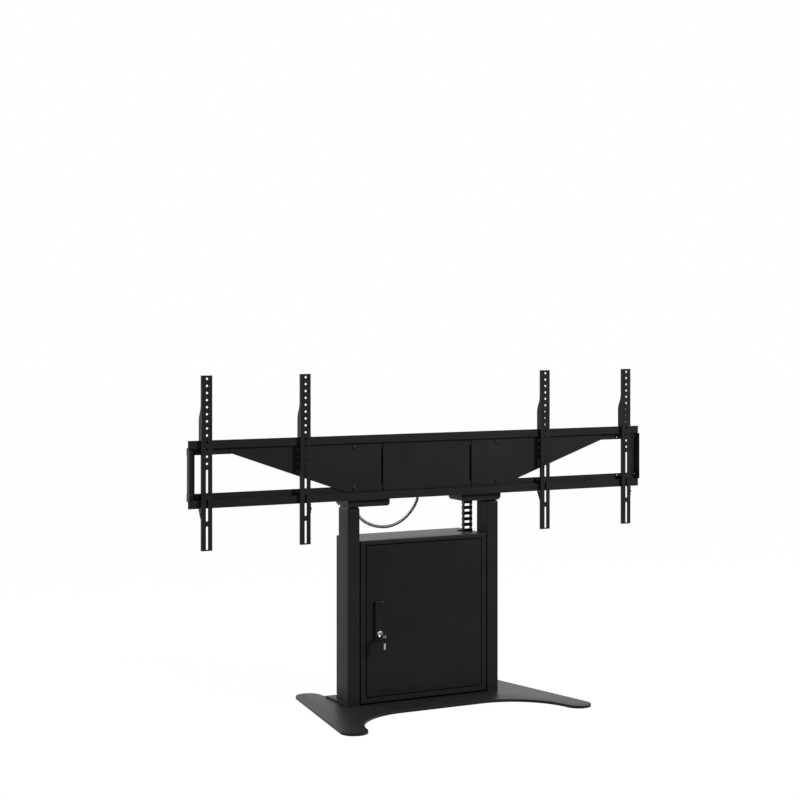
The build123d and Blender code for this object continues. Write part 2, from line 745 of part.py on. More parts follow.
panel_screw_z = rail_mid_z + panel_screw_rise
with BuildPart() as centre_panel:
    with BuildSketch(upright(wing_front_y)):
        with Locations((0, wing_bottom_z)):
            Rectangle(2 * panel_half_w, wing_top_z - wing_bottom_z, align=(Align.CENTER, Align.MIN))
        with Locations((-panel_screw_x, panel_screw_z), (panel_screw_x, panel_screw_z)):
            Circle(m5_r + bolt_gap, mode=Mode.SUBTRACT)
    extrude(amount=-rail_t)
    with BuildSketch(upright(wing_front_y)):
        for s in (-1, 1):
            with Locations((s * panel_half_w, fold_bottom_z)):
                Rectangle(rail_t, fold_h, align=(Align.MAX if s > 0 else Align.MIN, Align.MIN))
    extrude(amount=-fold_depth)
write(centre_panel, "centre_panel")

# End brackets: an upright web flush with the rails' ends and a flange bolted to them
for side, s in sides:
    with BuildPart() as end_bracket:
        with BuildSketch(Plane.XY.offset(rail_mid_z - end_bracket_half_h)):
            with Locations((s * rail_half, flange_y)):
                Rectangle(rail_t, flange_y - end_bracket_front_y,
                          align=(Align.MAX if s > 0 else Align.MIN, Align.MAX))
                Rectangle(end_bracket_w, rail_t, align=(Align.MAX if s > 0 else Align.MIN, Align.MAX))
        extrude(amount=2 * end_bracket_half_h)
        with BuildSketch(upright(flange_y)):
            with Locations(*[(s * end_bolt_x, z) for z in rail_bolt_zs]):
                Circle(m8_r + bolt_gap)
        extrude(amount=rail_t, mode=Mode.SUBTRACT)
    write(end_bracket, f"end_bracket_{side}")

# Beam tray: an open C-section behind the wings
tray_front_y = rail_back_y
tray_h = tray_top_z - tray_bottom_z
chain_y = chain_front_y + chain_depth / 2
gear_bolt_places = [(s * column_x + dx, column_y + dy) for s in (-1, 1)
                    for dx in (-gear_bolt_half_x, gear_bolt_half_x)
                    for dy in (-gear_bolt_half_y, gear_bolt_half_y)]
with BuildPart() as beam_tray:
    with BuildSketch(Plane.YZ):
        with Locations((tray_front_y, tray_bottom_z)):
            Rectangle(tray_rear_y - tray_front_y, tray_h, align=(Align.MIN, Align.MIN))
        with Locations((tray_front_y + tray_t, tray_bottom_z + tray_t)):
            Rectangle(tray_rear_y - tray_front_y - 2 * tray_t, tray_h - 2 * tray_t,
                      align=(Align.MIN, Align.MIN), mode=Mode.SUBTRACT)
        with Locations((tray_front_y, tray_bottom_z + tray_lip)):
            Rectangle(tray_t, tray_h - 2 * tray_lip, align=(Align.MIN, Align.MIN), mode=Mode.SUBTRACT)
    extrude(amount=tray_half_w, both=True)
    with BuildSketch(upright(tray_front_y)):
        for s in (-1, 1):
            for z in rail_bolt_zs:
                with Locations((s * wing_bolt_x, z)):
                    Circle(m8_r + bolt_gap)
                with Locations((s * wing_screw_x, z)):
                    Circle(m5_r + bolt_gap)
    extrude(amount=-tray_t, mode=Mode.SUBTRACT)
    with BuildSketch(Plane.XY.offset(tray_bottom_z)):
        with Locations(*gear_bolt_places):
            Circle(m5_r + bolt_gap)
        with Locations((cable_end_x, cable_y)):
            Circle(cable_wire_r + bolt_gap)
    extrude(amount=tray_t, mode=Mode.SUBTRACT)
    with BuildSketch(upright(tray_rear_y - tray_t)):
        with Locations((inlet_x, inlet_z)):
            Rectangle(inlet_body_w, inlet_body_h)
    extrude(amount=-tray_t, mode=Mode.SUBTRACT)
write(beam_tray, "beam_tray")

# Column heads: a base on the tray's floor, an upright plate bolted behind the rails, and a rib
head_bottom_z = tray_bottom_z + tray_t
head_front_y = tray_front_y + tray_t
head_top_z = tray_top_z - tray_t
with BuildPart() as column_heads:
    for s in (-1, 1):
        with BuildSketch(Plane.YZ.offset(s * column_x - head_w / 2)):
            with Locations((head_front_y, head_bottom_z)):
                Rectangle(head_base_depth, head_t, align=(Align.MIN, Align.MIN))
                Rectangle(head_t, head_top_z - head_bottom_z, align=(Align.MIN, Align.MIN))
        extrude(amount=head_w)
        with BuildSketch(Plane.YZ.offset(s * column_x - head_rib_t / 2)):
            with BuildLine():
                Polyline((head_front_y, head_bottom_z), (head_front_y + head_base_depth, head_bottom_z),
                         (head_front_y, head_bottom_z + head_rib_rise), close=True)
            make_face()
        extrude(amount=head_rib_t)
    with BuildSketch(upright(head_front_y)):
        with Locations(*[(s * wing_bolt_x, z) for s in (-1, 1) for z in rail_bolt_zs]):
            Circle(m8_r + bolt_gap)
    extrude(amount=-head_t, mode=Mode.SUBTRACT)
    with BuildSketch(Plane.XY.offset(head_bottom_z)):
        with Locations(*gear_bolt_places):
            Circle(m5_r + bolt_gap)
    extrude(amount=head_t, mode=Mode.SUBTRACT)
write(column_heads, "column_heads")

# Bolts of the beam: heads in front of the wings and brackets, nuts behind the tray or rail
with BuildPart() as beam_bolts:
    for x, head_r, head_h, shank_r, nut_hex_r, nut_high, back_y in (
            (wing_bolt_x, m8_head_r, m8_head_h, m8_r, m8_nut_r, m8_nut_h, head_front_y + head_t),
            (wing_screw_x, m5_head_r, m5_head_h, m5_r, m5_nut_r, m5_nut_h, head_front_y),
            (end_bolt_x, m8_head_r, m8_head_h, m8_r, m8_nut_r, m8_nut_h, rail_back_y)):
        places = [(s * x, z) for s in (-1, 1) for z in rail_bolt_zs]
        with BuildSketch(upright(wing_front_y)):
            with Locations(*places):
                Circle(head_r)
        extrude(amount=head_h)
        with BuildSketch(upright(wing_front_y)):
            with Locations(*places):
                Circle(shank_r)
        extrude(amount=wing_front_y - back_y)
        with BuildSketch(upright(back_y)):
            with Locations(*places):
                RegularPolygon(nut_hex_r, 6)
        extrude(amount=-nut_high)
    fillet(beam_bolts.faces().filter_by(Axis.Y).sort_by(Axis.Y)[:m8_bolt_count].edges(), head_edge_r)
    with BuildSketch(upright(wing_front_y)):
        with Locations((-panel_screw_x, panel_screw_z), (panel_screw_x, panel_screw_z)):
            Circle(m5_head_r)
    extrude(amount=m5_head_h)
    with BuildSketch(upright(wing_front_y)):
        with Locations((-panel_screw_x, panel_screw_z), (panel_screw_x, panel_screw_z)):
            Circle(m5_r)
    extrude(amount=-rail_t - m5_nut_h)
    with BuildSketch(Plane.XY.offset(head_bottom_z + head_t)):
        with Locations(*gear_bolt_places):
            Circle(m5_head_r)
    extrude(amount=m5_head_h)
    with BuildSketch(Plane.XY.offset(head_bottom_z + head_t)):
        with Locations(*gear_bolt_places):
            Circle(m5_r)
    extrude(amount=-head_t - tray_t - m8_nut_h)
write(beam_bolts, "beam_bolts")

# Motor housings: closed shells with an opening below for the column and above for the gearbox
for side, s in sides:
    with BuildPart() as housing:
        with BuildSketch(upright(housing_front_y)) as housing_face:
            with BuildLine():
                Polyline((s * housing_inner_x, gearbox_top_z), (s * housing_outer_x, gearbox_top_z),
                         (s * housing_outer_x, housing_bottom_z + housing_chamfer),
                         (s * (housing_outer_x - housing_chamfer), housing_bottom_z),
                         (s * housing_inner_x, housing_bottom_z), close=True)
            make_face()
            fillet(housing_face.vertices().group_by(Axis.Y)[0].sort_by(Axis.X)[0 if s > 0 else -1],
                   housing_round)
        extrude(amount=housing_front_y - housing_rear_y)
        with BuildSketch(upright(housing_front_y + housing_wall)) as housing_inside:
            add(housing_face.sketch.moved(Location((0, housing_wall, 0))))
            offset(amount=-housing_wall, kind=Kind.INTERSECTION)
        extrude(amount=housing_front_y - housing_rear_y + 2 * housing_wall, mode=Mode.SUBTRACT)
        with BuildSketch(Plane.XY.offset(housing_bottom_z)):
            with Locations((s * column_x, column_y)):
                RectangleRounded(inner_w + 2 * run_gap, inner_depth + 2 * run_gap, inner_corner_r)
        extrude(amount=housing_wall, mode=Mode.SUBTRACT)
        with BuildSketch(Plane.XY.offset(gearbox_top_z)):
            with Locations((s * column_x, column_y)):
                Rectangle(gearbox_w, gearbox_depth)
        extrude(amount=-housing_wall, mode=Mode.SUBTRACT)
        if s < 0:
            with Locations((cable_start_x, cable_y, housing_bottom_z)):
                Cylinder(cable_wire_r + bolt_gap, housing_wall,
                         align=(Align.CENTER, Align.CENTER, Align.MIN), mode=Mode.SUBTRACT)
    write(housing, f"motor_housing_{side}")

with BuildPart() as gearboxes:
    for s in (-1, 1):
        with BuildSketch(Plane.XY.offset(gearbox_bottom_z)) as gearbox_face:
            with Locations((s * column_x, column_y)):
                Rectangle(gearbox_w, gearbox_depth)
        extrude(amount=gearbox_top_z - gearbox_bottom_z)
    with BuildSketch(Plane.XY.offset(gearbox_bottom_z)):
        with Locations((-column_x, column_y), (column_x, column_y)):
            Circle(spindle_r + run_gap)
    extrude(amount=spindle_seat + run_gap, mode=Mode.SUBTRACT)
    with BuildSketch(Plane.XY.offset(gearbox_top_z)):
        with Locations(*gear_bolt_places):
            Circle(m5_r + bolt_gap)
    extrude(amount=-m8_nut_h - run_gap, mode=Mode.SUBTRACT)
write(gearboxes, "gearboxes")

motor_z = (gearbox_bottom_z + gearbox_top_z) / 2 - motor_drop
with BuildPart() as motors:
    for s in (-1, 1):
        with BuildSketch(Plane.YZ.offset(s * (column_x - gearbox_w / 2))):
            with Locations((column_y, motor_z)):
                Circle(motor_r)
        extrude(amount=-s * motor_l)
        with BuildSketch(Plane.YZ.offset(s * (column_x - gearbox_w / 2 - motor_l))):
            with Locations((column_y, motor_z)):
                Circle(motor_boss_r)
        extrude(amount=-s * motor_boss_l)
write(motors, "motors")

# Inner columns hang from the gearboxes, with glides at their lower ends and spindles inside
for side, s in sides:
    with BuildPart() as inner_tube:
        with BuildSketch(Plane.XY.offset(inner_bottom_z)):
            with Locations((s * column_x, column_y)):
                RectangleRounded(inner_w, inner_depth, inner_corner_r)
                Rectangle(inner_w - 2 * inner_wall, inner_depth - 2 * inner_wall, mode=Mode.SUBTRACT)
        extrude(amount=gearbox_bottom_z - inner_bottom_z)
    write(inner_tube, f"inner_tube_{side}")

    with BuildPart() as spindle:
        with Locations((s * column_x, column_y, spindle_bottom_z)):
            Cylinder(spindle_r, gearbox_bottom_z + spindle_seat - spindle_bottom_z,
                     align=(Align.CENTER, Align.CENTER, Align.MIN))
        chamfer(spindle.edges().filter_by(GeomType.CIRCLE), head_edge_r)
    write(spindle, f"spindle_{side}")

with BuildPart() as tube_glides:
    with BuildSketch(Plane.XY.offset(inner_bottom_z)):
        with Locations((-column_x, column_y), (column_x, column_y)):
            RectangleRounded(column_bore_w - 2 * run_gap, column_bore_depth - 2 * run_gap, inner_corner_r)
            RectangleRounded(inner_w, inner_depth, inner_corner_r, mode=Mode.SUBTRACT)
    extrude(amount=glide_h)
write(tube_glides, "tube_glides")

# Control box on the tray's back, with two stand-offs that carry the centre panel's screws
control_rear_y = tray_rear_y - tray_t
with BuildPart() as control_box:
    with BuildSketch(upright(control_front_y)) as control_face:
        with Locations((0, control_bottom_z)):
            Rectangle(2 * control_half_w, control_top_z - control_bottom_z, align=(Align.CENTER, Align.MIN))
        fillet(control_face.vertices(), lever_corner_r)
    extrude(amount=control_front_y - control_rear_y)
    with BuildSketch(upright(control_front_y)):
        with Locations((-panel_screw_x, panel_screw_z), (panel_screw_x, panel_screw_z)):
            Circle(standoff_r)
    extrude(amount=control_front_y - flange_y)
    with BuildSketch(upright(flange_y)):
        with Locations((-panel_screw_x, panel_screw_z), (panel_screw_x, panel_screw_z)):
            Circle(m5_r + bolt_gap)
    extrude(amount=-m5_nut_h - run_gap, mode=Mode.SUBTRACT)
write(control_box, "control_box")

with BuildPart() as power_inlet:
    with BuildSketch(upright(tray_rear_y)) as inlet_face:
        with Locations((inlet_x, inlet_z)):
            Rectangle(inlet_w, inlet_h)
        fillet(inlet_face.vertices(), lever_corner_r)
    extrude(amount=-inlet_flange_t)
    with BuildSketch(upright(tray_rear_y)):
        with Locations((inlet_x, inlet_z)):
            Rectangle(inlet_body_w - run_gap, inlet_body_h - run_gap)
    extrude(amount=inlet_body_l)
    with BuildSketch(upright(tray_rear_y + inlet_flange_t)):
        with Locations((inlet_x, inlet_z)):
            Rectangle(inlet_body_w - 2 * inlet_wall, inlet_body_h - 2 * inlet_wall)
    extrude(amount=inlet_flange_t + inlet_body_l - 2 * inlet_wall, mode=Mode.SUBTRACT)
write(power_inlet, "power_inlet")

# Chain bracket on the tray's back, and the chain's links below it
with BuildPart() as chain_bracket:
    with BuildSketch(Plane.YZ.offset(chain_x - bracket_w / 2)):
        with Locations((tray_rear_y, chain_top_z)):
            Rectangle(bracket_t, bracket_h, align=(Align.MIN, Align.MIN))
            Rectangle(chain_front_y + chain_depth - tray_rear_y, bracket_t, align=(Align.MIN, Align.MIN))
    extrude(amount=bracket_w)
write(chain_bracket, "chain_bracket")

# Each link has outer side plates, inner ears that reach down between the next link's plates, and rungs
link_h = chain_pitch - run_gap
outer_plate_x = chain_w / 2 - chain_plate_t
ear_x = outer_plate_x - run_gap / 2
with BuildPart() as chain_link:
    for s in (-1, 1):
        with BuildSketch(Plane.YZ.offset(chain_x + s * outer_plate_x)):
            with Locations((chain_y, chain_top_z - link_h / 2)):
                RectangleRounded(chain_depth, link_h, chain_plate_t)
        extrude(amount=s * chain_plate_t)
        with BuildSketch(Plane.YZ.offset(chain_x + s * ear_x)):
            with Locations((chain_y, chain_top_z - chain_overlap)):
                RectangleRounded(chain_depth - 2 * chain_plate_t, link_h, chain_plate_t,
                                 align=(Align.CENTER, Align.MAX))
        extrude(amount=-s * chain_plate_t)
        with BuildSketch(Plane.YZ.offset(chain_x + s * ear_x)):
            with Locations((chain_y, chain_top_z - chain_overlap)):
                Rectangle(chain_depth - 4 * chain_plate_t, link_h - chain_overlap,
                          align=(Align.CENTER, Align.MAX))
        extrude(amount=s * run_gap / 2)
    for y in (chain_front_y + chain_plate_t / 2, chain_front_y + chain_depth - chain_plate_t / 2):
        with Locations((chain_x, y, chain_top_z - chain_pitch / 2)):
            Box(2 * outer_plate_x, chain_plate_t, chain_rung_h)

with BuildPart() as cable_chain:
    with Locations(*[(0, 0, -i * chain_pitch) for i in range(chain_links)]):
        add(chain_link.part)
write(cable_chain, "cable_chain")

# Curly motor cable from the left housing to the tray
gland_bottom_z = housing_bottom_z - gland_h
tray_gland_z = tray_bottom_z - gland_h
with BuildPart() as cable_glands:
    for x, z in ((cable_start_x, housing_bottom_z), (cable_end_x, tray_bottom_z)):
        with BuildSketch(Plane.XY.offset(z)):
            with Locations((x, cable_y)):
                RegularPolygon(gland_r, 6)
        extrude(amount=-gland_h + gland_tip_h)
        with BuildSketch(Plane.XY.offset(z)):
            with Locations((x, cable_y)):
                Circle(gland_tip_r)
        extrude(amount=-gland_h)
write(cable_glands, "cable_glands")

route_points = [(cable_start_x, gland_bottom_z)]
route_points += [(cable_start_x * share, z) for share, z in zip(cable_route_shares, cable_route_zs)]
route_points += [(cable_end_x, tray_gland_z)]


def bend_radii(points):
    """A radius for each corner, as large as its two runs allow."""
    radii = []
    for before, here, after in zip(points, points[1:], points[2:]):
        run_in = Vector(here[0] - before[0], here[1] - before[1])
        run_out = Vector(after[0] - here[0], after[1] - here[1])
        turn = run_in.get_angle(run_out) * pi / 180
        radii.append(bend_share * min(run_in.length, run_out.length) * cos(turn / 2) / sin(turn / 2))
    return radii


route_radii = bend_radii(route_points)
print("cable route radii:", [round(r, 1) for r in route_radii])
with BuildLine(Plane.XZ.offset(-cable_y)) as cable_axis:
    FilletPolyline(*route_points, radius=route_radii)
axis_wire = cable_axis.wire()
axis_length = axis_wire.length
cable_turns = round((axis_length - 2 * cable_lead) / cable_pitch)
turn_length = (axis_length - 2 * cable_lead) / cable_turns
print("cable curls:", cable_turns, "route length:", round(axis_length, 1))


def curl_place(s):
    """The wire's centre at the length s along the route, on a helix that grows from the axis."""
    along = min(max(s / axis_length, 0), 1)
    centre = axis_wire.position_at(along)
    forward = axis_wire.tangent_at(along)
    across = forward.cross(Vector(0, 1, 0))
    inset = min(s - cable_lead, axis_length - cable_lead - s) / turn_length
    share = min(max(inset, 0), 1)
    radius = cable_curl_r * (3 - 2 * share) * share ** 2
    angle = 2 * pi * (s - cable_lead) / turn_length
    return centre + across * (radius * cos(angle)) + Vector(0, 1, 0) * (radius * sin(angle))


def curl_heading(s):
    """The wire's direction at the length s, from two places close beside it."""
    step = turn_length * heading_share
    return (curl_place(s + step) - curl_place(s - step)).normalized()


def biarc_middle(start, start_way, end, end_way):
    """Where the two arcs that join start to end in the given directions meet, and which way."""
    chord = end - start
    both = start_way + end_way
    lean = 2 * (1 - start_way.dot(end_way))
    reach = chord.dot(both)
    if lean < nearly_zero:
        arm = chord.dot(chord) / (2 * reach)
    else:
        arm = (-reach + sqrt(reach ** 2 + lean * chord.dot(chord))) / lean
    meet = (start + end + (start_way - end_way) * arm) * 0.5
    return meet, (chord - both * arm).normalized()


axis_start = axis_wire.position_at(0)
axis_end = axis_wire.position_at(1)
quarters = 4 * cable_turns
curl_nodes = []
for i in range(quarters + 1):
    s_here = cable_lead + i * turn_length / 4
    curl_nodes.append((curl_place(s_here), curl_heading(s_here)))
curl_nodes[0] = (curl_nodes[0][0], Vector(0, 0, -1))
curl_nodes[-1] = (curl_nodes[-1][0], Vector(0, 0, 1))
with BuildPart() as motor_cable:
    with BuildLine() as curls:
        Line(axis_start, curl_nodes[0][0])
        for (p, p_way), (q, q_way) in zip(curl_nodes, curl_nodes[1:]):
            meet, meet_way = biarc_middle(p, p_way, q, q_way)
            TangentArc(p, meet, tangent=p_way)
            TangentArc(meet, q, tangent=meet_way)
        Line(curl_nodes[-1][0], axis_end)
    with BuildSketch(Plane(axis_start, z_dir=(0, 0, -1))):
        Circle(cable_wire_r)
    sweep(path=curls.wire())
write(motor_cable, "motor_cable")

print("cable volume:", round(motor_cable.part.volume, 1), "section times length:",
      round(pi * cable_wire_r ** 2 * curls.wire().length, 1))
curl_samples = [curl_place(i * turn_length / samples_a_turn)
                for i in range(int(samples_a_turn * axis_length / turn_length))]
closest = min((a - b).length for i, a in enumerate(curl_samples)
              for b in curl_samples[i + 2 * samples_a_turn // 3:i + 2 * samples_a_turn])
print("cable's least gap to itself:", round(closest - 2 * cable_wire_r, 2))

# Display arms: channels with holes and slots, hooks over the upper rail, a lock plate below the lower
arm_bottom_z = arm_top_z - arm_l
rail_top_z = rail_mid_z + rail_ledge + rail_lip
hook_bottom_z = rail_mid_z + rail_ledge + rail_t + hook_rise
notch_back_y = rail_front_y + rail_t + hook_gap_y
hook_mid_z = (hook_top_z + hook_full_z) / 2
lock_top_z = rail_mid_z - rail_ledge - rail_lip - 2 * run_gap
lock_screw_z = lock_top_z - lock_screw_drop
for number, (place, lock_side) in enumerate(zip(arm_places, arm_lock_sides), start=1):
    with BuildPart() as display_arm:
        for s in (-1, 1):
            with BuildSketch(Plane.YZ.offset(place + s * arm_w / 2)):
                with BuildLine():
                    Polyline((0, arm_bottom_z), (0, arm_top_z), (arm_depth, arm_top_z),
                             (arm_depth, hook_top_z))
                    Bezier((arm_depth, hook_top_z), (arm_depth, hook_mid_z), (hook_depth, hook_mid_z),
                           (hook_depth, hook_full_z))
                    Polyline((hook_depth, hook_full_z), (hook_depth, hook_bottom_z),
                             (notch_back_y, hook_bottom_z), (notch_back_y, rail_top_z + run_gap),
                             (arm_depth, rail_top_z + run_gap), (arm_depth, arm_bottom_z), (0, arm_bottom_z))
                make_face()
            extrude(amount=-s * arm_t)
        with BuildSketch(upright(0)):
            with Locations((place, arm_bottom_z)):
                Rectangle(arm_w, arm_l, align=(Align.CENTER, Align.MIN))
        extrude(amount=-arm_t)
        with BuildSketch(upright(0)):
            for i in range(round_hole_count):
                with Locations((place, arm_top_z - round_hole_drop - i * round_hole_pitch)):
                    Circle(round_hole_r)
            for i in range(slot_count):
                with Locations((place, arm_top_z - slot_drop - i * slot_pitch)):
                    SlotOverall(slot_l, slot_w, rotation=90)
        extrude(amount=-arm_t, mode=Mode.SUBTRACT)
        with BuildSketch(Plane.YZ.offset(place + lock_side * (arm_w / 2 - arm_t))):
            with Locations((lock_screw_y, lock_screw_z)):
                Circle(m5_r + bolt_gap)
        extrude(amount=lock_side * arm_t, mode=Mode.SUBTRACT)
    write(display_arm, f"display_arm_{number}")

    lock_face_x = place + lock_side * arm_w / 2
    with BuildPart() as arm_lock:
        with BuildSketch(Plane.YZ.offset(lock_face_x)) as lock_outline:
            with BuildLine():
                Polyline((lock_plate_inset, lock_top_z), (lock_plate_tip_y, lock_top_z),
                         (lock_plate_tip_y, lock_top_z - lock_plate_tip_h),
                         (lock_plate_foot, lock_top_z - lock_plate_h),
                         (lock_plate_inset, lock_top_z - lock_plate_h), close=True)
            make_face()
            fillet(lock_outline.vertices(), lock_plate_inset)
            with Locations((lock_screw_y, lock_screw_z)):
                Circle(m5_r + bolt_gap, mode=Mode.SUBTRACT)
        extrude(amount=lock_side * lock_plate_t)
        with BuildSketch(Plane.YZ.offset(lock_face_x + lock_side * lock_plate_t)):
            with Locations((lock_screw_y, lock_screw_z)):
                Circle(m5_head_r)
        extrude(amount=lock_side * m5_head_h)
        with BuildSketch(Plane.YZ.offset(lock_face_x + lock_side * lock_plate_t)):
            with Locations((lock_screw_y, lock_screw_z)):
                Circle(m5_r)
        extrude(amount=-lock_side * (lock_plate_t + arm_t + m5_nut_h))
    write(arm_lock, f"arm_lock_{number}")
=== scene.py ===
# %% [markdown]
# A floor-standing lift for a large flat display, seen at its lowest stop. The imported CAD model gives
# every part its place and its body. This lesson dresses that model: it softens the sheet's edges,
# turns the small round parts, links the cable chain, winds the curly cable and mixes the finishes.

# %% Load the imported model
import json
import math

import bmesh
import bpy
from mathutils import Matrix, Vector

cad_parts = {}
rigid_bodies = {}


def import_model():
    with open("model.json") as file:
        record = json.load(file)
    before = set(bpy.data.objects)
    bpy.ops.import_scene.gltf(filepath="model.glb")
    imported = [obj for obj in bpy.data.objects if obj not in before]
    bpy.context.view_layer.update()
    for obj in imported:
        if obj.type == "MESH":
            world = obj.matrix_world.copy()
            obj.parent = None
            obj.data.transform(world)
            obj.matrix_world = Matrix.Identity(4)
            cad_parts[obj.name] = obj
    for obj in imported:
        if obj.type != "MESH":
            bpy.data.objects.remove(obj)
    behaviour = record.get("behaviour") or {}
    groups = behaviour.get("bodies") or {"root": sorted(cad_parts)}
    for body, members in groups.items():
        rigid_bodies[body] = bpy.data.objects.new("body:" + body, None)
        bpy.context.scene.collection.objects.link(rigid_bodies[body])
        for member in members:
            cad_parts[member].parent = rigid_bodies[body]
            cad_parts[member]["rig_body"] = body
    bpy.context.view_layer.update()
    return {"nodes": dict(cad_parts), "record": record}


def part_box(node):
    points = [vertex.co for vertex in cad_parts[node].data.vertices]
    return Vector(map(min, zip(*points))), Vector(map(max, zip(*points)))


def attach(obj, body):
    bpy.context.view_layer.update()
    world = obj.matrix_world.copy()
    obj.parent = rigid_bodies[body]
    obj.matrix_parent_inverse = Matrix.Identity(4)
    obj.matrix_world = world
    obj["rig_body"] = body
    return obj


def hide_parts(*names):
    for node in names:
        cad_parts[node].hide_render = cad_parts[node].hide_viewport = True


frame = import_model()
scene = bpy.context.scene
node_slots = {row["node"]: row["material_slot"] for row in frame["record"]["subparts"]}
node_bodies = {name: node["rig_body"] for name, node in frame["nodes"].items()}
mm = 0.001

# %% [markdown]
# The camera stands level, to the left of the lift and a little above its beam. A level camera keeps
# upright edges upright, and a small downward shift of the lens puts the lift in the lower part of the
# picture, as tilting would, without leaning the columns.

# %% Camera
lens_mm = 80.18
lens_shift = -0.1
camera_place = (-3.26546, -5.86658, 1.44452)
camera_turn = -28.138
camera_data = bpy.data.cameras.new("camera")
camera_data.sensor_width = 36.0
camera_data.lens = lens_mm
camera_data.shift_y = lens_shift
camera_data.clip_end = 60.0
camera = bpy.data.objects.new("camera", camera_data)
camera.location = camera_place
camera.rotation_euler = (math.radians(90.0), 0.0, math.radians(camera_turn))
scene.collection.objects.link(camera)
scene.camera = camera
print("camera lens:", camera_data.lens)

# %% [markdown]
# Each finish is a small set of nodes on Object coordinates, so its grain has its real size wherever
# the part is. Powder coat is a thick matt skin: a fine orange-peel bump, a very faint cloudiness and a
# low gloss that only shows at flat angles. A bump is enough for it, because the peel is thinner than
# a hair. Steel gets a grain that is stretched along the way it was drawn or turned.

# %% Helpers for finishes
def linked_noise(tree, coordinates, scale, detail, stretch):
    """A noise texture on Object coordinates, stretched along the axes."""
    mapping = tree.nodes.new("ShaderNodeMapping")
    mapping.inputs["Scale"].default_value = stretch
    noise = tree.nodes.new("ShaderNodeTexNoise")
    noise.inputs["Scale"].default_value = scale
    noise.inputs["Detail"].default_value = detail
    tree.links.new(coordinates.outputs["Object"], mapping.inputs["Vector"])
    tree.links.new(mapping.outputs["Vector"], noise.inputs["Vector"])
    return noise


def finish(name, dark, light, rough_low, rough_high, metallic=0.0, specular=0.5, cloud_scale=9.0,
           grain_scale=900.0, grain_height=0.00002, grain_strength=0.2, stretch=(1.0, 1.0, 1.0)):
    """A procedural finish: clouded colour, uneven gloss and a fine grain in the surface."""
    material = bpy.data.materials.new(name)
    material.use_nodes = True
    tree = material.node_tree
    surface = tree.nodes["Principled BSDF"]
    surface.inputs["Metallic"].default_value = metallic
    surface.inputs["Specular IOR Level"].default_value = specular
    coordinates = tree.nodes.new("ShaderNodeTexCoord")
    clouds = linked_noise(tree, coordinates, cloud_scale, 4.0, stretch)
    colours = tree.nodes.new("ShaderNodeValToRGB")
    colours.color_ramp.elements[0].position = 0.3
    colours.color_ramp.elements[0].color = (*dark, 1.0)
    colours.color_ramp.elements[1].position = 0.7
    colours.color_ramp.elements[1].color = (*light, 1.0)
    tree.links.new(clouds.outputs["Fac"], colours.inputs["Fac"])
    tree.links.new(colours.outputs["Color"], surface.inputs["Base Color"])
    grain = linked_noise(tree, coordinates, grain_scale, 2.0, stretch)
    gloss = tree.nodes.new("ShaderNodeMapRange")
    gloss.inputs["To Min"].default_value = rough_low
    gloss.inputs["To Max"].default_value = rough_high
    tree.links.new(clouds.outputs["Fac"], gloss.inputs["Value"])
    tree.links.new(gloss.outputs["Result"], surface.inputs["Roughness"])
    bump = tree.nodes.new("ShaderNodeBump")
    bump.inputs["Strength"].default_value = grain_strength
    bump.inputs["Distance"].default_value = grain_height
    tree.links.new(grain.outputs["Fac"], bump.inputs["Height"])
    tree.links.new(bump.outputs["Normal"], surface.inputs["Normal"])
    return material


# %% The finishes, by the record's slots
finishes = {
    "powder_coat": finish("powder_coat", (0.0185, 0.0185, 0.0190), (0.0215, 0.0215, 0.0220), 0.36, 0.44,
                          specular=0.06),
    "door_paint": finish("door_paint", (0.0165, 0.0165, 0.0170), (0.0190, 0.0190, 0.0195), 0.34, 0.40,
                         specular=0.06, grain_strength=0.12),
    "dark_bolts": finish("dark_bolts", (0.0020, 0.0020, 0.0022), (0.0036, 0.0036, 0.0038), 0.24, 0.36,
                         specular=0.4, cloud_scale=160.0),
    "nylon": finish("nylon", (0.0042, 0.0042, 0.0045), (0.0058, 0.0058, 0.0060), 0.42, 0.55, specular=0.22,
                    cloud_scale=40.0, grain_strength=0.1),
    "lock_plastic": finish("lock_plastic", (0.0066, 0.0066, 0.0070), (0.0084, 0.0084, 0.0088), 0.34, 0.44,
                           specular=0.24, cloud_scale=60.0, grain_strength=0.15),
    "jacket": finish("jacket", (0.0016, 0.0016, 0.0018), (0.0026, 0.0026, 0.0028), 0.46, 0.56, specular=0.05,
                     cloud_scale=120.0, grain_strength=0.1),
    "steel": finish("steel", (0.42, 0.42, 0.43), (0.56, 0.56, 0.57), 0.26, 0.40, metallic=1.0,
                    cloud_scale=30.0, grain_scale=260.0, grain_strength=0.3, stretch=(1.0, 1.0, 0.04)),
    "zinc": finish("zinc", (0.50, 0.51, 0.54), (0.64, 0.64, 0.62), 0.30, 0.46, metallic=1.0,
                   cloud_scale=60.0),
    "chrome": finish("chrome", (0.80, 0.80, 0.81), (0.88, 0.88, 0.89), 0.06, 0.12, metallic=1.0,
                     cloud_scale=200.0, grain_strength=0.04),
    "key_blade": finish("key_blade", (0.62, 0.62, 0.63), (0.76, 0.76, 0.77), 0.24, 0.36, metallic=0.3,
                        cloud_scale=160.0, grain_strength=0.1),
    "bronze": finish("bronze", (0.46, 0.31, 0.13), (0.58, 0.42, 0.20), 0.28, 0.42, metallic=1.0,
                     cloud_scale=80.0),
    "cast_case": finish("cast_case", (0.085, 0.085, 0.088), (0.13, 0.13, 0.13), 0.55, 0.72, cloud_scale=70.0,
                        grain_scale=320.0, grain_height=0.0002, grain_strength=0.5),
}
print("finishes:", len(finishes))

# %% [markdown]
# The curly motor cable sags between the left motor housing and the beam. Its route is a smooth NURBS
# line through the air. The curls are more points of a second NURBS line that winds round the first:
# a helix needs an axis to wind on, and reading that axis from the evaluated curve keeps both in step.
# A quadratic spline cuts inside its control points, so the helix starts a little wider.

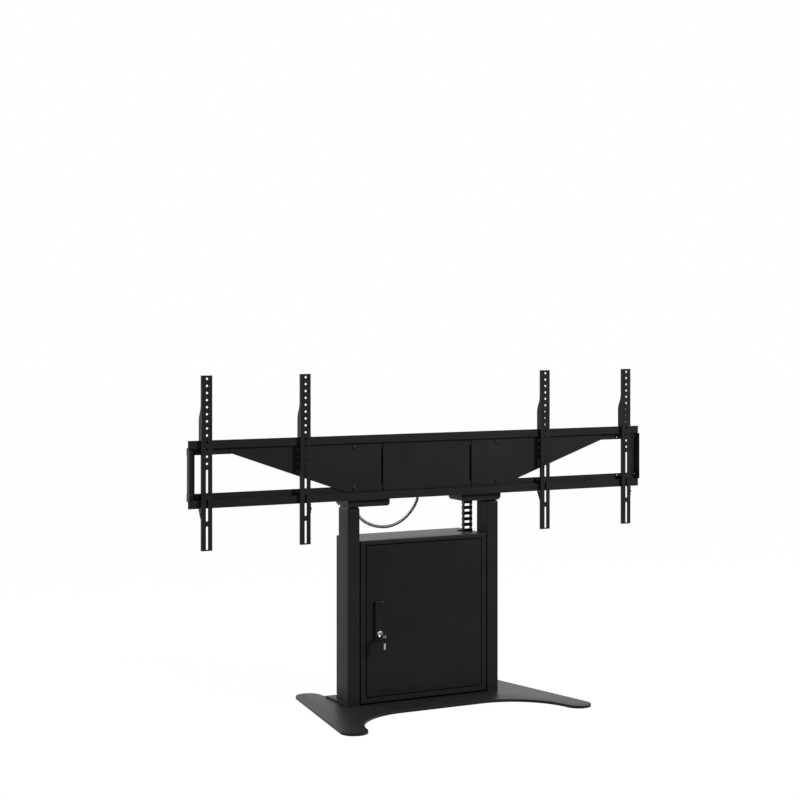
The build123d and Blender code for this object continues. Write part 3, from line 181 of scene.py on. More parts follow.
# %% Helpers for spline lines
def spline_object(name, points, bevel_r):
    """A NURBS line of order 3 that starts and ends at its end points."""
    curve = bpy.data.curves.new(name, "CURVE")
    curve.dimensions = "3D"
    curve.resolution_u = 6
    curve.bevel_depth = bevel_r
    curve.bevel_resolution = 3
    curve.use_fill_caps = True
    spline = curve.splines.new("NURBS")
    spline.points.add(len(points) - 1)
    for point, place in zip(spline.points, points):
        point.co = (*place, 1.0)
    spline.order_u = 3
    spline.use_endpoint_u = True
    line = bpy.data.objects.new(name, curve)
    scene.collection.objects.link(line)
    return line


def read_line(line):
    """The points of an evaluated line that has no bevel, in order."""
    depsgraph = bpy.context.evaluated_depsgraph_get()
    mesh = bpy.data.meshes.new_from_object(line.evaluated_get(depsgraph), depsgraph=depsgraph)
    points = [v.co.copy() for v in mesh.vertices]
    bpy.data.meshes.remove(mesh)
    return points


def place_on(points, reach):
    """The place and direction at a length along a line of points."""
    for here, there in zip(points, points[1:]):
        run = (there - here).length
        if reach <= run:
            return here.lerp(there, reach / run), (there - here).normalized()
        reach -= run
    return points[-1], (points[-1] - points[-2]).normalized()


# %% The curly motor cable
cable_y = 80.0 * mm
cable_r = 2.3 * mm
curl_r = 4.1 * mm
curl_lead = 20.0 * mm
curl_count = 44
points_a_curl = 12
cable_start_x, cable_end_x = -268.0 * mm, -4.0 * mm
cable_start_z, cable_end_z = 739.0 * mm, 796.0 * mm
route_shares = (0.9925, 0.8657, 0.7164, 0.5448, 0.3881, 0.2313, 0.1007, 0.0299)
route_zs = (714.0, 686.0, 670.0, 664.0, 672.5, 694.0, 731.0, 766.0)
route = [(cable_start_x, cable_y, cable_start_z)]
route += [(cable_start_x * share, cable_y, z * mm) for share, z in zip(route_shares, route_zs)]
route += [(cable_end_x, cable_y, cable_end_z)]

axis_line = spline_object("cable_axis", route, 0.0)
axis_points = read_line(axis_line)
bpy.data.objects.remove(axis_line)
axis_length = sum((b - a).length for a, b in zip(axis_points, axis_points[1:]))
turn_length = (axis_length - 2 * curl_lead) / curl_count
spline_shrink = (3 + math.cos(2 * math.pi / points_a_curl)) / 4
curl_points = [axis_points[0]]
across_y = Vector((0.0, 1.0, 0.0))
for step in range(curl_count * points_a_curl + 1):
    along = curl_lead + step * turn_length / points_a_curl
    inset = min(along - curl_lead, axis_length - curl_lead - along) / turn_length
    share = min(max(inset, 0.0), 1.0)
    radius = curl_r / spline_shrink * (3 - 2 * share) * share ** 2
    centre, forward = place_on(axis_points, along)
    outward = forward.cross(across_y)
    angle = 2 * math.pi * step / points_a_curl
    curl_points.append(centre + outward * radius * math.cos(angle) + across_y * radius * math.sin(angle))
curl_points.append(axis_points[-1])

flat_cable = spline_object("cable_measure", curl_points, 0.0)
wire_points = read_line(flat_cable)
bpy.data.objects.remove(flat_cable)
motor_cable = spline_object("curly_cable", curl_points, cable_r)
motor_cable.data.resolution_u = 2
motor_cable.data.materials.append(finishes["jacket"])
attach(motor_cable, "lift")
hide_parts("motor_cable")

# %% [markdown]
# Real sheet parts have no razor edges: a punched or folded edge is rounded, and that thin round is what
# catches the light along a black part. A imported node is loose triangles, so a copy is merged, its flat
# faces are joined, and a narrow Bevel is laid on the sharp edges. The copy then stands for the node.

# %% Helpers for meshes
def link_piece(name, mesh, body, slot_name, *nodes):
    """A finished piece that rides on a body, has a slot's finish and may stand for CAD nodes."""
    piece = bpy.data.objects.new(name, mesh)
    scene.collection.objects.link(piece)
    if not mesh.materials:
        mesh.materials.append(finishes[slot_name])
    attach(piece, body)
    if nodes:
        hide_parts(*nodes)
    return piece


def shade(mesh, angle):
    """Smooth shading that stays sharp over edges with more than this angle."""
    mesh.polygons.foreach_set("use_smooth", [True] * len(mesh.polygons))
    mesh.set_sharp_from_angle(angle=math.radians(angle))


def edge_rounding(piece, width):
    """A live Bevel on the edges that turn by more than 30 degrees."""
    bevel = piece.modifiers.new("edge_rounding", "BEVEL")
    bevel.width = width
    bevel.segments = 2
    bevel.limit_method = "ANGLE"
    bevel.angle_limit = math.radians(30.0)
    bevel.harden_normals = True
    bevel.use_clamp_overlap = True


def dress(node, width_mm):
    """A merged, edge-rounded copy of a CAD node, in the node's finish."""
    slot_name = node_slots[node]
    mesh = frame["nodes"][node].data.copy()
    mesh.materials.clear()
    shape = bmesh.new()
    shape.from_mesh(mesh)
    bmesh.ops.remove_doubles(shape, verts=shape.verts, dist=2e-6)
    bmesh.ops.dissolve_limit(shape, angle_limit=math.radians(0.4), verts=shape.verts, edges=shape.edges)
    shape.to_mesh(mesh)
    shape.free()
    shade(mesh, 30.0)
    piece = link_piece(node + "_piece", mesh, node_bodies[node], slot_name, node)
    if width_mm:
        edge_rounding(piece, width_mm * mm)
    return piece


# %% Sheet, tube and plate parts
edge_widths = {
    "base_plate": 0.0, "chassis_plate": 0.6, "cabinet_front_frame": 0.5, "cabinet_lid": 0.4,
    "cabinet_side_left": 0.5, "cabinet_side_right": 0.5, "cabinet_back": 0.5, "cabinet_floor": 0.4,
    "column_tube_left": 0.6, "column_tube_right": 0.6, "column_collar_left": 0.5,
    "column_collar_right": 0.5,
    "inner_tube_left": 0.5, "inner_tube_right": 0.5, "tube_glides": 0.3, "nut_tubes": 0.4,
    "spindle_nuts": 0.5, "upper_rail": 1.0, "lower_rail": 1.0, "left_wing": 0.6, "right_wing": 0.6,
    "centre_panel": 0.6, "end_bracket_left": 0.8, "end_bracket_right": 0.8, "beam_tray": 0.6,
    "column_heads": 0.6, "motor_housing_left": 0.7, "motor_housing_right": 0.7, "gearboxes": 1.0,
    "motors": 0.8, "control_box": 0.9, "chain_bracket": 0.6, "display_arm_1": 0.25, "display_arm_2": 0.25,
    "display_arm_3": 0.25, "display_arm_4": 0.25, "arm_lock_1": 0.4, "arm_lock_2": 0.4, "arm_lock_3": 0.4,
    "arm_lock_4": 0.4, "door_panel": 0.3, "lever_plate": 0.4, "door_lever": 0.5, "latch_cam": 0.4,
    "hinge_pins": 0.3, "base_screws": 0.3, "power_inlet": 0.4, "cable_hole_trim": 0.2,
}
dressed = {node: dress(node, width) for node, width in edge_widths.items()}
print("edge-rounded parts:", len(dressed))

# %% [markdown]
# Bolts, nuts and chain links repeat, so Geometry Nodes place them. One tree takes any part, puts it
# on every point of a mesh, spins each one by a seeded random angle, and ends in Realize Instances and
# Set Material, so that the export meets a plain mesh.

# %% A tree that puts a part on every point
def scatter_tree():
    """Geometry Nodes: an instance of Part on each point of the holder's mesh."""
    tree = bpy.data.node_groups.new("place_parts", "GeometryNodeTree")
    sockets = tree.interface
    sockets.new_socket("Geometry", in_out="INPUT", socket_type="NodeSocketGeometry")
    sockets.new_socket("Part", in_out="INPUT", socket_type="NodeSocketObject")
    sockets.new_socket("Facing", in_out="INPUT", socket_type="NodeSocketVector")
    sockets.new_socket("Size", in_out="INPUT", socket_type="NodeSocketFloat")
    sockets.new_socket("Spin", in_out="INPUT", socket_type="NodeSocketFloat")
    sockets.new_socket("Seed", in_out="INPUT", socket_type="NodeSocketInt")
    sockets.new_socket("Finish", in_out="INPUT", socket_type="NodeSocketMaterial")
    sockets.new_socket("Geometry", in_out="OUTPUT", socket_type="NodeSocketGeometry")
    given = tree.nodes.new("NodeGroupInput")
    made = tree.nodes.new("NodeGroupOutput")
    info = tree.nodes.new("GeometryNodeObjectInfo")
    info.inputs["As Instance"].default_value = True
    on_points = tree.nodes.new("GeometryNodeInstanceOnPoints")
    chance = tree.nodes.new("FunctionNodeRandomValue")
    chance.data_type = "FLOAT"
    angle = tree.nodes.new("ShaderNodeCombineXYZ")
    turn = tree.nodes.new("GeometryNodeRotateInstances")
    turn.inputs["Local Space"].default_value = True
    realize = tree.nodes.new("GeometryNodeRealizeInstances")
    paint = tree.nodes.new("GeometryNodeSetMaterial")
    links = tree.links
    links.new(given.outputs["Part"], info.inputs["Object"])
    links.new(given.outputs["Geometry"], on_points.inputs["Points"])
    links.new(info.outputs["Geometry"], on_points.inputs["Instance"])
    links.new(given.outputs["Facing"], on_points.inputs["Rotation"])
    links.new(given.outputs["Size"], on_points.inputs["Scale"])
    floats = [socket for socket in chance.inputs if socket.type == "VALUE"]
    floats[0].default_value = 0.0
    links.new(given.outputs["Spin"], floats[1])
    links.new(given.outputs["Seed"], chance.inputs["Seed"])
    chance_out = [socket for socket in chance.outputs if socket.type == "VALUE"][0]
    links.new(chance_out, angle.inputs["Z"])
    links.new(on_points.outputs["Instances"], turn.inputs["Instances"])
    links.new(angle.outputs["Vector"], turn.inputs["Rotation"])
    links.new(turn.outputs["Instances"], realize.inputs["Geometry"])
    links.new(realize.outputs["Geometry"], paint.inputs["Geometry"])
    links.new(given.outputs["Finish"], paint.inputs["Material"])
    links.new(paint.outputs["Geometry"], made.inputs["Geometry"])
    return tree


place_parts = scatter_tree()


def scatter(part_mesh, places, facing, slot_name, size=1.0, spin=0.0, seed=1):
    """A plain mesh with a copy of the part at every place."""
    part = bpy.data.objects.new("part", part_mesh)
    points = bpy.data.meshes.new("places")
    points.from_pydata([tuple(place) for place in places], [], [])
    holder = bpy.data.objects.new("holder", points)
    scene.collection.objects.link(part)
    scene.collection.objects.link(holder)
    modifier = holder.modifiers.new("place_parts", "NODES")
    modifier.node_group = place_parts
    values = {"Part": part, "Facing": facing, "Size": size, "Spin": spin, "Seed": seed,
              "Finish": finishes[slot_name]}
    for socket in place_parts.interface.items_tree:
        if socket.item_type == "SOCKET" and socket.in_out == "INPUT" and socket.name in values:
            modifier[socket.identifier] = values[socket.name]
    depsgraph = bpy.context.evaluated_depsgraph_get()
    mesh = bpy.data.meshes.new_from_object(holder.evaluated_get(depsgraph), depsgraph=depsgraph)
    bpy.data.objects.remove(holder)
    bpy.data.objects.remove(part)
    return mesh


def joined(name, meshes, slot_name):
    """Several meshes as one, in one finish."""
    shape = bmesh.new()
    for mesh in meshes:
        shape.from_mesh(mesh)
    whole = bpy.data.meshes.new(name)
    shape.to_mesh(whole)
    shape.free()
    for polygon in whole.polygons:
        polygon.material_index = 0
    whole.materials.append(finishes[slot_name])
    return whole


# %% Helpers for turned and cut shapes
def turned(shape, profile, place, steps=32):
    """Spins a profile of (radius, height) pairs round the local Z axis of place."""
    rings = []
    for radius, height in profile:
        count = steps if radius > 0 else 1
        rings.append([shape.verts.new(place @ Vector((radius * math.cos(2 * math.pi * i / count),
                                                      radius * math.sin(2 * math.pi * i / count), height)))
                      for i in range(count)])
    for low, high in zip(rings, rings[1:]):
        for i in range(steps):
            j = (i + 1) % steps
            corners = [low[i % len(low)], low[j % len(low)], high[j % len(high)], high[i % len(high)]]
            face = list(dict.fromkeys(corners))
            if len(face) > 2:
                shape.faces.new(face)


def slab(shape, outline, thickness, place):
    """A flat plate with this outline in local XY, as thick as given along local Z."""
    low = [shape.verts.new(place @ Vector((x, y, 0.0))) for x, y in outline]
    high = [shape.verts.new(place @ Vector((x, y, thickness))) for x, y in outline]
    shape.faces.new(list(reversed(low)))
    shape.faces.new(high)
    for i in range(len(outline)):
        j = (i + 1) % len(outline)
        shape.faces.new((low[i], low[j], high[j], high[i]))


def rounded_outline(width, height, radius, steps=5):
    """The corners of a rounded rectangle about its middle."""
    points = []
    for quarter, (sx, sy) in enumerate(((1, 1), (-1, 1), (-1, -1), (1, -1))):
        for i in range(steps + 1):
            angle = math.pi / 2 * (quarter + i / steps)
            points.append((sx * (width / 2 - radius) + radius * math.cos(angle),
                           sy * (height / 2 - radius) + radius * math.sin(angle)))
    return points


def hexagon(radius):
    """The corners of a hexagon about its middle."""
    return [(radius * math.cos(math.pi / 3 * i), radius * math.sin(math.pi / 3 * i)) for i in range(6)]


def finished_mesh(name, shape, angle=35.0):
    """A mesh from this shape, its faces outwards, smooth over small angles."""
    bmesh.ops.remove_doubles(shape, verts=shape.verts, dist=1e-7)
    bmesh.ops.recalc_face_normals(shape, faces=shape.faces)
    mesh = bpy.data.meshes.new(name)
    shape.to_mesh(mesh)
    shape.free()
    shade(mesh, angle)
    return mesh


upright = Matrix.Identity(4)

# %% [markdown]
# The beam's bolts have round button heads with a hex socket. The head is a turned dome, and its socket
# is six walls that go down to a flat floor, joined to the dome's inner rim. The head is modelled twice,
# at the sizes of an M8 and an M5 head.

# %% Bolt head and nut
def button_head(head_r, head_h, socket_r):
    """A domed bolt head with a hex socket, standing on z = 0."""
    shape = bmesh.new()
    steps = 30
    profile = ((head_r, 0.0), (head_r, head_h * 0.18), (head_r * 0.93, head_h * 0.55),
               (head_r * 0.78, head_h * 0.84), (head_r * 0.6, head_h * 0.97), (socket_r * 1.12, head_h))
    turned(shape, profile, upright, steps)
    shape.verts.ensure_lookup_table()
    rim = list(shape.verts)[-steps:]
    hex_top, hex_floor = [], []
    for i in range(steps):
        angle = 2 * math.pi * i / steps
        within = (angle + math.pi / 6) % (math.pi / 3) - math.pi / 6
        flat_r = socket_r * math.cos(math.pi / 6) / math.cos(within)
        x, y = flat_r * math.cos(angle), flat_r * math.sin(angle)
        hex_top.append(shape.verts.new((x, y, head_h * 0.96)))
        hex_floor.append(shape.verts.new((x, y, head_h * 0.38)))
    for i in range(steps):
        j = (i + 1) % steps
        shape.faces.new((rim[i], rim[j], hex_top[j], hex_top[i]))
        shape.faces.new((hex_top[i], hex_top[j], hex_floor[j], hex_floor[i]))
    shape.faces.new(hex_floor)
    base = list(shape.verts)[:steps]
    shape.faces.new(list(reversed(base)))
    return finished_mesh("button_head", shape, 40.0)


def hex_nut(nut_r, nut_h, bolt_r):
    """A hexagon nut on z = 0 with the bolt's end standing out of it."""
    shape = bmesh.new()
    slab(shape, hexagon(nut_r), nut_h * 0.86, upright)
    turned(shape, ((nut_r * 0.84, nut_h * 0.86), (nut_r * 0.76, nut_h * 0.93),
                   (bolt_r * 1.04, nut_h * 0.93)), upright, 24)
    turned(shape, ((bolt_r, nut_h * 0.86), (bolt_r, nut_h * 0.97), (bolt_r * 0.8, nut_h), (0.0, nut_h)),
           upright, 24)
    return finished_mesh("hex_nut", shape, 30.0)


# %% The beam's bolts and nuts
rail_mid_z = 898.25
bolt_rise = 75.7
bolt_zs = (rail_mid_z - bolt_rise, rail_mid_z + bolt_rise)
panel_screw_zs = (rail_mid_z + 22.75,)
wing_front_y = 23.0
beam_bolt_x, beam_nut_y = 309.0, 35.0
end_bolt_x, end_nut_y = 953.4, 29.0
wing_screw_x, screw_nut_y = 221.0, 31.0
panel_screw_x = 32.6
column_x, column_y = 300.0, 81.0
gear_bolt_half_x, gear_bolt_half_y, gear_bolt_z = 21.0, 24.0, 814.0
to_front = (math.radians(90.0), 0.0, 0.0)
to_back = (math.radians(-90.0), 0.0, 0.0)
no_turn = (0.0, 0.0, 0.0)
full_turn = 2 * math.pi


def mirrored_places(x, y, zs):
    """Places at both sides of the lift, from millimetres."""
    return [(side * x * mm, y * mm, z * mm) for side in (-1, 1) for z in zs]


m8_head = button_head(7.2 * mm, 5.0 * mm, 2.9 * mm)
m5_head = button_head(4.6 * mm, 2.6 * mm, 1.75 * mm)
m8_nut = hex_nut(7.4 * mm, 6.5 * mm, 4.0 * mm)
m5_nut = hex_nut(4.5 * mm, 4.0 * mm, 2.5 * mm)
gear_places = [((side * column_x + dx) * mm, (column_y + dy) * mm, gear_bolt_z * mm)
               for side in (-1, 1) for dx in (-gear_bolt_half_x, gear_bolt_half_x)
               for dy in (-gear_bolt_half_y, gear_bolt_half_y)]
bolt_sets = [
    scatter(part, places, facing, "dark_bolts", spin=full_turn, seed=seed)
    for part, places, facing, seed in (
        (m8_head, mirrored_places(beam_bolt_x, wing_front_y, bolt_zs), to_front, 3),
        (m8_head, mirrored_places(end_bolt_x, wing_front_y, bolt_zs), to_front, 5),
        (m5_head, mirrored_places(wing_screw_x, wing_front_y, bolt_zs), to_front, 7),
        (m5_head, mirrored_places(panel_screw_x, wing_front_y, panel_screw_zs), to_front, 9),
        (m5_head, gear_places, no_turn, 11),
        (m8_nut, mirrored_places(beam_bolt_x, beam_nut_y, bolt_zs), to_back, 13),
        (m8_nut, mirrored_places(end_bolt_x, end_nut_y, bolt_zs), to_back, 15),
        (m5_nut, mirrored_places(wing_screw_x, screw_nut_y, bolt_zs), to_back, 17))
]
beam_bolts = joined("beam_bolts_piece", bolt_sets, "dark_bolts")
shade(beam_bolts, 35.0)
link_piece("beam_bolts_piece", beam_bolts, "lift", "dark_bolts", "beam_bolts")
print("beam bolt faces:", len(beam_bolts.polygons))

# %% [markdown]
# The cable chain hangs from the beam and runs down through the cabinet's round hole. A link is two
# outer side plates with round ends, two inner ears that reach down between the next link's plates, and
# a rung in front and behind. The rungs flare where they meet the plates, which rounds the windows'
# corners. One link is modelled, and the tree repeats it down the line at the chain's pitch.

# %% Chain link
def flared_bar(length, height, flare, steps=4):
    """The outline of a bar that grows taller towards its ends in small quarter rounds."""
    half = length / 2
    points = []
    for sx, sz, way in ((1, 1, 1), (-1, 1, -1), (-1, -1, 1), (1, -1, -1)):
        arc = []
        for i in range(steps + 1):
            angle = math.pi / 2 * i / steps
            arc.append((sx * (half - flare + flare * math.sin(angle)),
                        sz * (height / 2 + flare - flare * math.cos(angle))))
        points += list(reversed(arc)) if way > 0 else arc
    return points


def along_x(x, y, z):
    """A place whose local XY is the lift's YZ, with its thickness along +X."""
    turn = Matrix(((0, 0, 1, 0), (1, 0, 0, 0), (0, 1, 0, 0), (0, 0, 0, 1)))
    return Matrix.Translation((x, y, z)) @ turn


def along_y(x, y, z):
    """A place whose local XY is the lift's XZ, with its thickness along -Y."""
    turn = Matrix(((1, 0, 0, 0), (0, 0, -1, 0), (0, 1, 0, 0), (0, 0, 0, 1)))
    return Matrix.Translation((x, y, z)) @ turn


def chain_link(width, depth, pitch, plate_t, gap, ear_reach):
    """One link of the chain, with its upper end at z = 0 and its middle at x = y = 0."""
    shape = bmesh.new()
    link_h = pitch - gap
    inner_x = width / 2 - plate_t
    plate_round, ear_round = 6.2 * mm, 6.0 * mm
    rung_h, rung_flare, seat = 11.0 * mm, 2.2 * mm, 0.02 * mm
    boss_sink, boss_drop = 0.25 * mm, link_h * 0.24
    for side in (-1, 1):
        outer_x = side * inner_x if side > 0 else side * (inner_x + plate_t)
        slab(shape, rounded_outline(depth, link_h, plate_round, 6), plate_t,
             along_x(outer_x, 0.0, -link_h / 2))
        ear_x = side * (inner_x - gap / 2) - (plate_t if side > 0 else 0.0)
        slab(shape, rounded_outline(depth - 2 * plate_t, link_h, ear_round, 6), plate_t,
             along_x(ear_x, 0.0, -ear_reach - link_h / 2))
        boss_turn = Matrix.Rotation(side * math.pi / 2, 4, "Y")
        boss = Matrix.Translation((side * (width / 2 - boss_sink), 0.0, -boss_drop)) @ boss_turn
        turned(shape, ((3.6 * mm, 0.0), (3.6 * mm, 0.35 * mm), (3.2 * mm, 0.75 * mm), (0.0, 0.75 * mm)),
               boss, 16)
    for face_y in (-depth / 2 + plate_t, depth / 2):
        slab(shape, flared_bar(2 * inner_x + seat, rung_h, rung_flare), plate_t,
             along_y(0.0, face_y, -pitch / 2))
    bmesh.ops.recalc_face_normals(shape, faces=shape.faces)
    edges = [edge for edge in shape.edges
             if edge.is_manifold and edge.calc_face_angle() > math.radians(50.0)]
    bmesh.ops.bevel(shape, geom=edges, offset=0.35 * mm, segments=1, affect="EDGES", clamp_overlap=True)
    return finished_mesh("chain_link", shape, 40.0)


# %% The cable chain
chain_low, chain_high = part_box("cable_chain")
chain_x = (chain_low.x + chain_high.x) / 2
chain_y = (chain_low.y + chain_high.y) / 2
chain_pitch = 22.0 * mm
chain_count = 32
chain_top_z = chain_high.z
link_w, link_depth, link_t = 38.0 * mm, 18.0 * mm, 2.4 * mm
link_gap, ear_reach = 0.3 * mm, 8.0 * mm
link_mesh = chain_link(link_w, link_depth, chain_pitch, link_t, link_gap, ear_reach)
link_places = [(chain_x, chain_y, chain_top_z - i * chain_pitch) for i in range(chain_count)]
chain_mesh = scatter(link_mesh, link_places, no_turn, "nylon")
shade(chain_mesh, 40.0)
link_piece("cable_chain_piece", chain_mesh, "lift", "nylon", "cable_chain")
print("chain link faces:", len(link_mesh.polygons), "chain top:", round(chain_top_z, 4))

# %% [markdown]
# Where the curly cable enters the housing and the beam, a cable gland grips it: a hexagon that is
# screwed into the sheet and a ribbed nose that squeezes the jacket. Both are turned or cut shapes.

# %% Cable glands
gland_hex_r, gland_hex_h = 8.5 * mm, 5.0 * mm
housing_bottom_z, beam_sheet_z = 751.0 * mm, 808.0 * mm


def gland(x, top_z):
    """A gland under a sheet at this height."""
    shape = bmesh.new()
    place = Matrix.Translation((x, cable_y, top_z - gland_hex_h))
    slab(shape, hexagon(gland_hex_r), gland_hex_h, place)
    nose = Matrix.Translation((x, cable_y, top_z)) @ Matrix.Rotation(math.pi, 4, "X")
    profile = [(7.4 * mm, 5.0 * mm), (7.4 * mm, 5.6 * mm), (6.0 * mm, 6.4 * mm)]
    for rib in range(4):
        start = 6.6 + rib * 1.15
        profile += [(6.0 * mm, start * mm), (6.0 * mm, (start + 0.5) * mm), (5.5 * mm, (start + 0.7) * mm),
                    (5.5 * mm, (start + 1.0) * mm)]
    profile += [(5.0 * mm, 11.6 * mm), (3.9 * mm, 12.0 * mm), (2.5 * mm, 12.0 * mm), (2.5 * mm, 9.0 * mm),
                (0.0, 9.0 * mm)]
    turned(shape, profile, nose, 32)
    return finished_mesh("gland", shape, 30.0)


gland_meshes = [gland(cable_start_x, housing_bottom_z), gland(cable_end_x, beam_sheet_z)]
glands = joined("cable_glands_piece", gland_meshes, "nylon")
shade(glands, 30.0)
gland_piece = link_piece("cable_glands_piece", glands, "lift", "nylon", "cable_glands")

# %% [markdown]
# The lock is the brightest thing on the door. The cylinder is one turned plug in two finishes: a
# polished rim with a shallow groove, and a black middle where the key goes in, which is painted shade
# for the shadowed keyway that is not modelled. The key has a moulded head with a hole, seen on its
# edge, and a milled blade, and a spare hangs under it on a split ring.
# The ring is a wire wound not quite twice, as real split rings are.

# %% Key shapes
def ring_plate(shape, outline, hole_r, hole_y, thickness, place):
    """A plate with a round hole: each outline corner is joined to a corner of the hole."""
    loops = []
    for z in (0.0, thickness):
        outer = [shape.verts.new(place @ Vector((x, y, z))) for x, y in outline]
        inner = []
        for x, y in outline:
            angle = math.atan2(y - hole_y, x)
            inner.append(shape.verts.new(place @ Vector((hole_r * math.cos(angle),
                                                         hole_y + hole_r * math.sin(angle), z))))
        loops.append((outer, inner))
    (low_out, low_in), (high_out, high_in) = loops
    for i in range(len(outline)):
        j = (i + 1) % len(outline)
        shape.faces.new((low_out[i], low_in[i], low_in[j], low_out[j]))
        shape.faces.new((high_out[i], high_out[j], high_in[j], high_in[i]))
        shape.faces.new((low_out[i], low_out[j], high_out[j], high_out[i]))
        shape.faces.new((low_in[i], high_in[i], high_in[j], low_in[j]))


def blade_outline(width, length, root):
    """A key blade that points down from z = 0, with cuts along one edge and a bevelled tip."""
    depths = (0.0, 0.9, 0.3, 1.2, 0.5, 1.0, 0.2)
    half = width / 2
    points = [(-half, root), (-half, -length + 1.6 * mm), (-half + 1.6 * mm, -length),
              (half - 1.4 * mm, -length)]
    step = (length - 6.0 * mm) / len(depths)
    for i, depth in enumerate(reversed(depths)):
        z = -length + 2.2 * mm + i * step
        points += [(half - depth * mm, z), (half - depth * mm, z + step * 0.45)]
    points += [(half, -2.0 * mm), (half, root)]
    return points


def key_parts(place, head_w, head_l, head_t, hole_r, bridge, blade_w, blade_l, blade_t):
    """A key that points down local -Y from its head's top at the origin: head and blade meshes."""
    head = bmesh.new()
    outline = [(x, y - head_l / 2) for x, y in rounded_outline(head_w, head_l, 6.6 * mm, 7)]
    ring_plate(head, outline, hole_r, -bridge - hole_r, head_t,
               place @ Matrix.Translation((0, 0, -head_t / 2)))
    blade = bmesh.new()
    start = place @ Matrix.Translation((0.0, -head_l, -blade_t / 2))
    slab(blade, blade_outline(blade_w, blade_l, 1.0 * mm), blade_t, start)
    return finished_mesh("key_head", head, 50.0), finished_mesh("key_blade", blade, 30.0)


def key_piece(name, body, node, *measures):
    """A key in two finishes: a moulded head and a bright blade."""
    head, blade = key_parts(*measures)
    shape = bmesh.new()
    shape.from_mesh(head)
    head_faces = len(shape.faces)
    shape.from_mesh(blade)
    mesh = bpy.data.meshes.new(name)
    shape.to_mesh(mesh)
    shape.free()
    mesh.materials.append(finishes["lock_plastic"])
    mesh.materials.append(finishes["key_blade"])
    for polygon in mesh.polygons:
        polygon.material_index = 0 if polygon.index < head_faces else 1
    shade(mesh, 40.0)
    piece = link_piece(name, mesh, body, "lock_plastic", node)
    edge_rounding(piece, 0.35 * mm)
    return piece


# %% Lock, keys and ring
lever_x = -197.5 * mm
lock_z = 274.4 * mm
lock_front_y = 26.6 * mm
key_low, key_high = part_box("lock_key")
key_end_y = key_low.y
flat_key = Matrix(((1, 0, 0, lever_x), (0, -1, 0, key_end_y), (0, 0, -1, lock_z), (0, 0, 0, 1)))
key_length = key_high.y - key_low.y
head_w, head_l, head_t = 20.0 * mm, 22.0 * mm, 2.6 * mm
key_hole_r, bridge, blade_t = 4.6 * mm, 3.0 * mm, 1.6 * mm
lock_blade_w, spare_blade_w = 4.6 * mm, 7.0 * mm
key_piece("lock_key_piece", "lock", "lock_key", flat_key, head_w, head_l, head_t, key_hole_r, bridge,
          lock_blade_w, key_length - head_l, blade_t)
spare_low, spare_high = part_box("spare_key")
spare_y = (spare_low.y + spare_high.y) / 2
hanging_key = Matrix(((1, 0, 0, lever_x), (0, 0, -1, spare_y), (0, 1, 0, spare_high.z), (0, 0, 0, 1)))
key_piece("spare_key_piece", "keys", "spare_key", hanging_key, head_w, head_l, head_t, key_hole_r, bridge,
          spare_blade_w, spare_high.z - spare_low.z - head_l, blade_t)

keyway_shade_r = 5.3 * mm
lock_shape = bmesh.new()
facing_front = Matrix.Translation((lever_x, lock_front_y, lock_z)) @ Matrix.Rotation(math.pi / 2, 4, "X")
turned(lock_shape, ((9.5 * mm, -8.9 * mm), (9.5 * mm, -0.7 * mm), (9.2 * mm, -0.2 * mm), (8.7 * mm, 0.0),
                    (7.6 * mm, -0.1 * mm), (7.1 * mm, -0.6 * mm), (6.6 * mm, -0.8 * mm),
                    (5.4 * mm, -0.8 * mm), (5.0 * mm, -0.2 * mm), (4.4 * mm, -0.1 * mm), (0.0, -0.1 * mm)),
       facing_front, 48)
lock_mesh = finished_mesh("lock_cylinder_piece", lock_shape, 50.0)
lock_mesh.materials.append(finishes["chrome"])
lock_mesh.materials.append(finishes["dark_bolts"])
# Faces near the lock's axis get the black finish: painted shade in place of the unmodelled keyway's shadow.
for polygon in lock_mesh.polygons:
    reach = math.hypot(polygon.center.x - lever_x, polygon.center.z - lock_z)
    polygon.material_index = 1 if reach < keyway_shade_r else 0
link_piece("lock_cylinder_piece", lock_mesh, "lock", "chrome", "lock_cylinder")

ring_low, ring_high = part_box("key_ring")
ring_middle = (ring_low + ring_high) / 2
ring_wire_r = 0.42 * mm
ring_slack = 0.05 * mm
ring_spread = 0.84 * mm
ring_r = (ring_high.z - ring_low.z) / 2 - ring_wire_r - ring_slack
ring_shape = bmesh.new()
ring_turns, ring_steps, wire_sides = 1.85, 88, 8
loops = []
for i in range(ring_steps + 1):
    angle = math.pi * 0.9 + 2 * math.pi * ring_turns * i / ring_steps
    radial = Vector((0.0, math.cos(angle), math.sin(angle)))
    centre = ring_middle + radial * ring_r + Vector(((i / ring_steps - 0.5) * ring_spread, 0.0, 0.0))
    wire_angles = [2 * math.pi * k / wire_sides for k in range(wire_sides)]
    loops.append([ring_shape.verts.new(centre + radial * ring_wire_r * math.cos(round_wire)
                                       + Vector((ring_wire_r * math.sin(round_wire), 0, 0)))
                  for round_wire in wire_angles])
for low, high in zip(loops, loops[1:]):
    for k in range(wire_sides):
        m = (k + 1) % wire_sides
        ring_shape.faces.new((low[k], low[m], high[m], high[k]))
ring_shape.faces.new(loops[0])
ring_shape.faces.new(loops[-1])
ring_mesh = finished_mesh("key_ring_piece", ring_shape, 50.0)
link_piece("key_ring_piece", ring_mesh, "keys", "chrome", "key_ring")
print("lock pieces made")

# %% [markdown]
# The lifting spindles have a rolled trapezoid thread. A thread is a surface that follows a rule, its
# radius depending only on how far along and how far round a point is, so a grid of points does it.

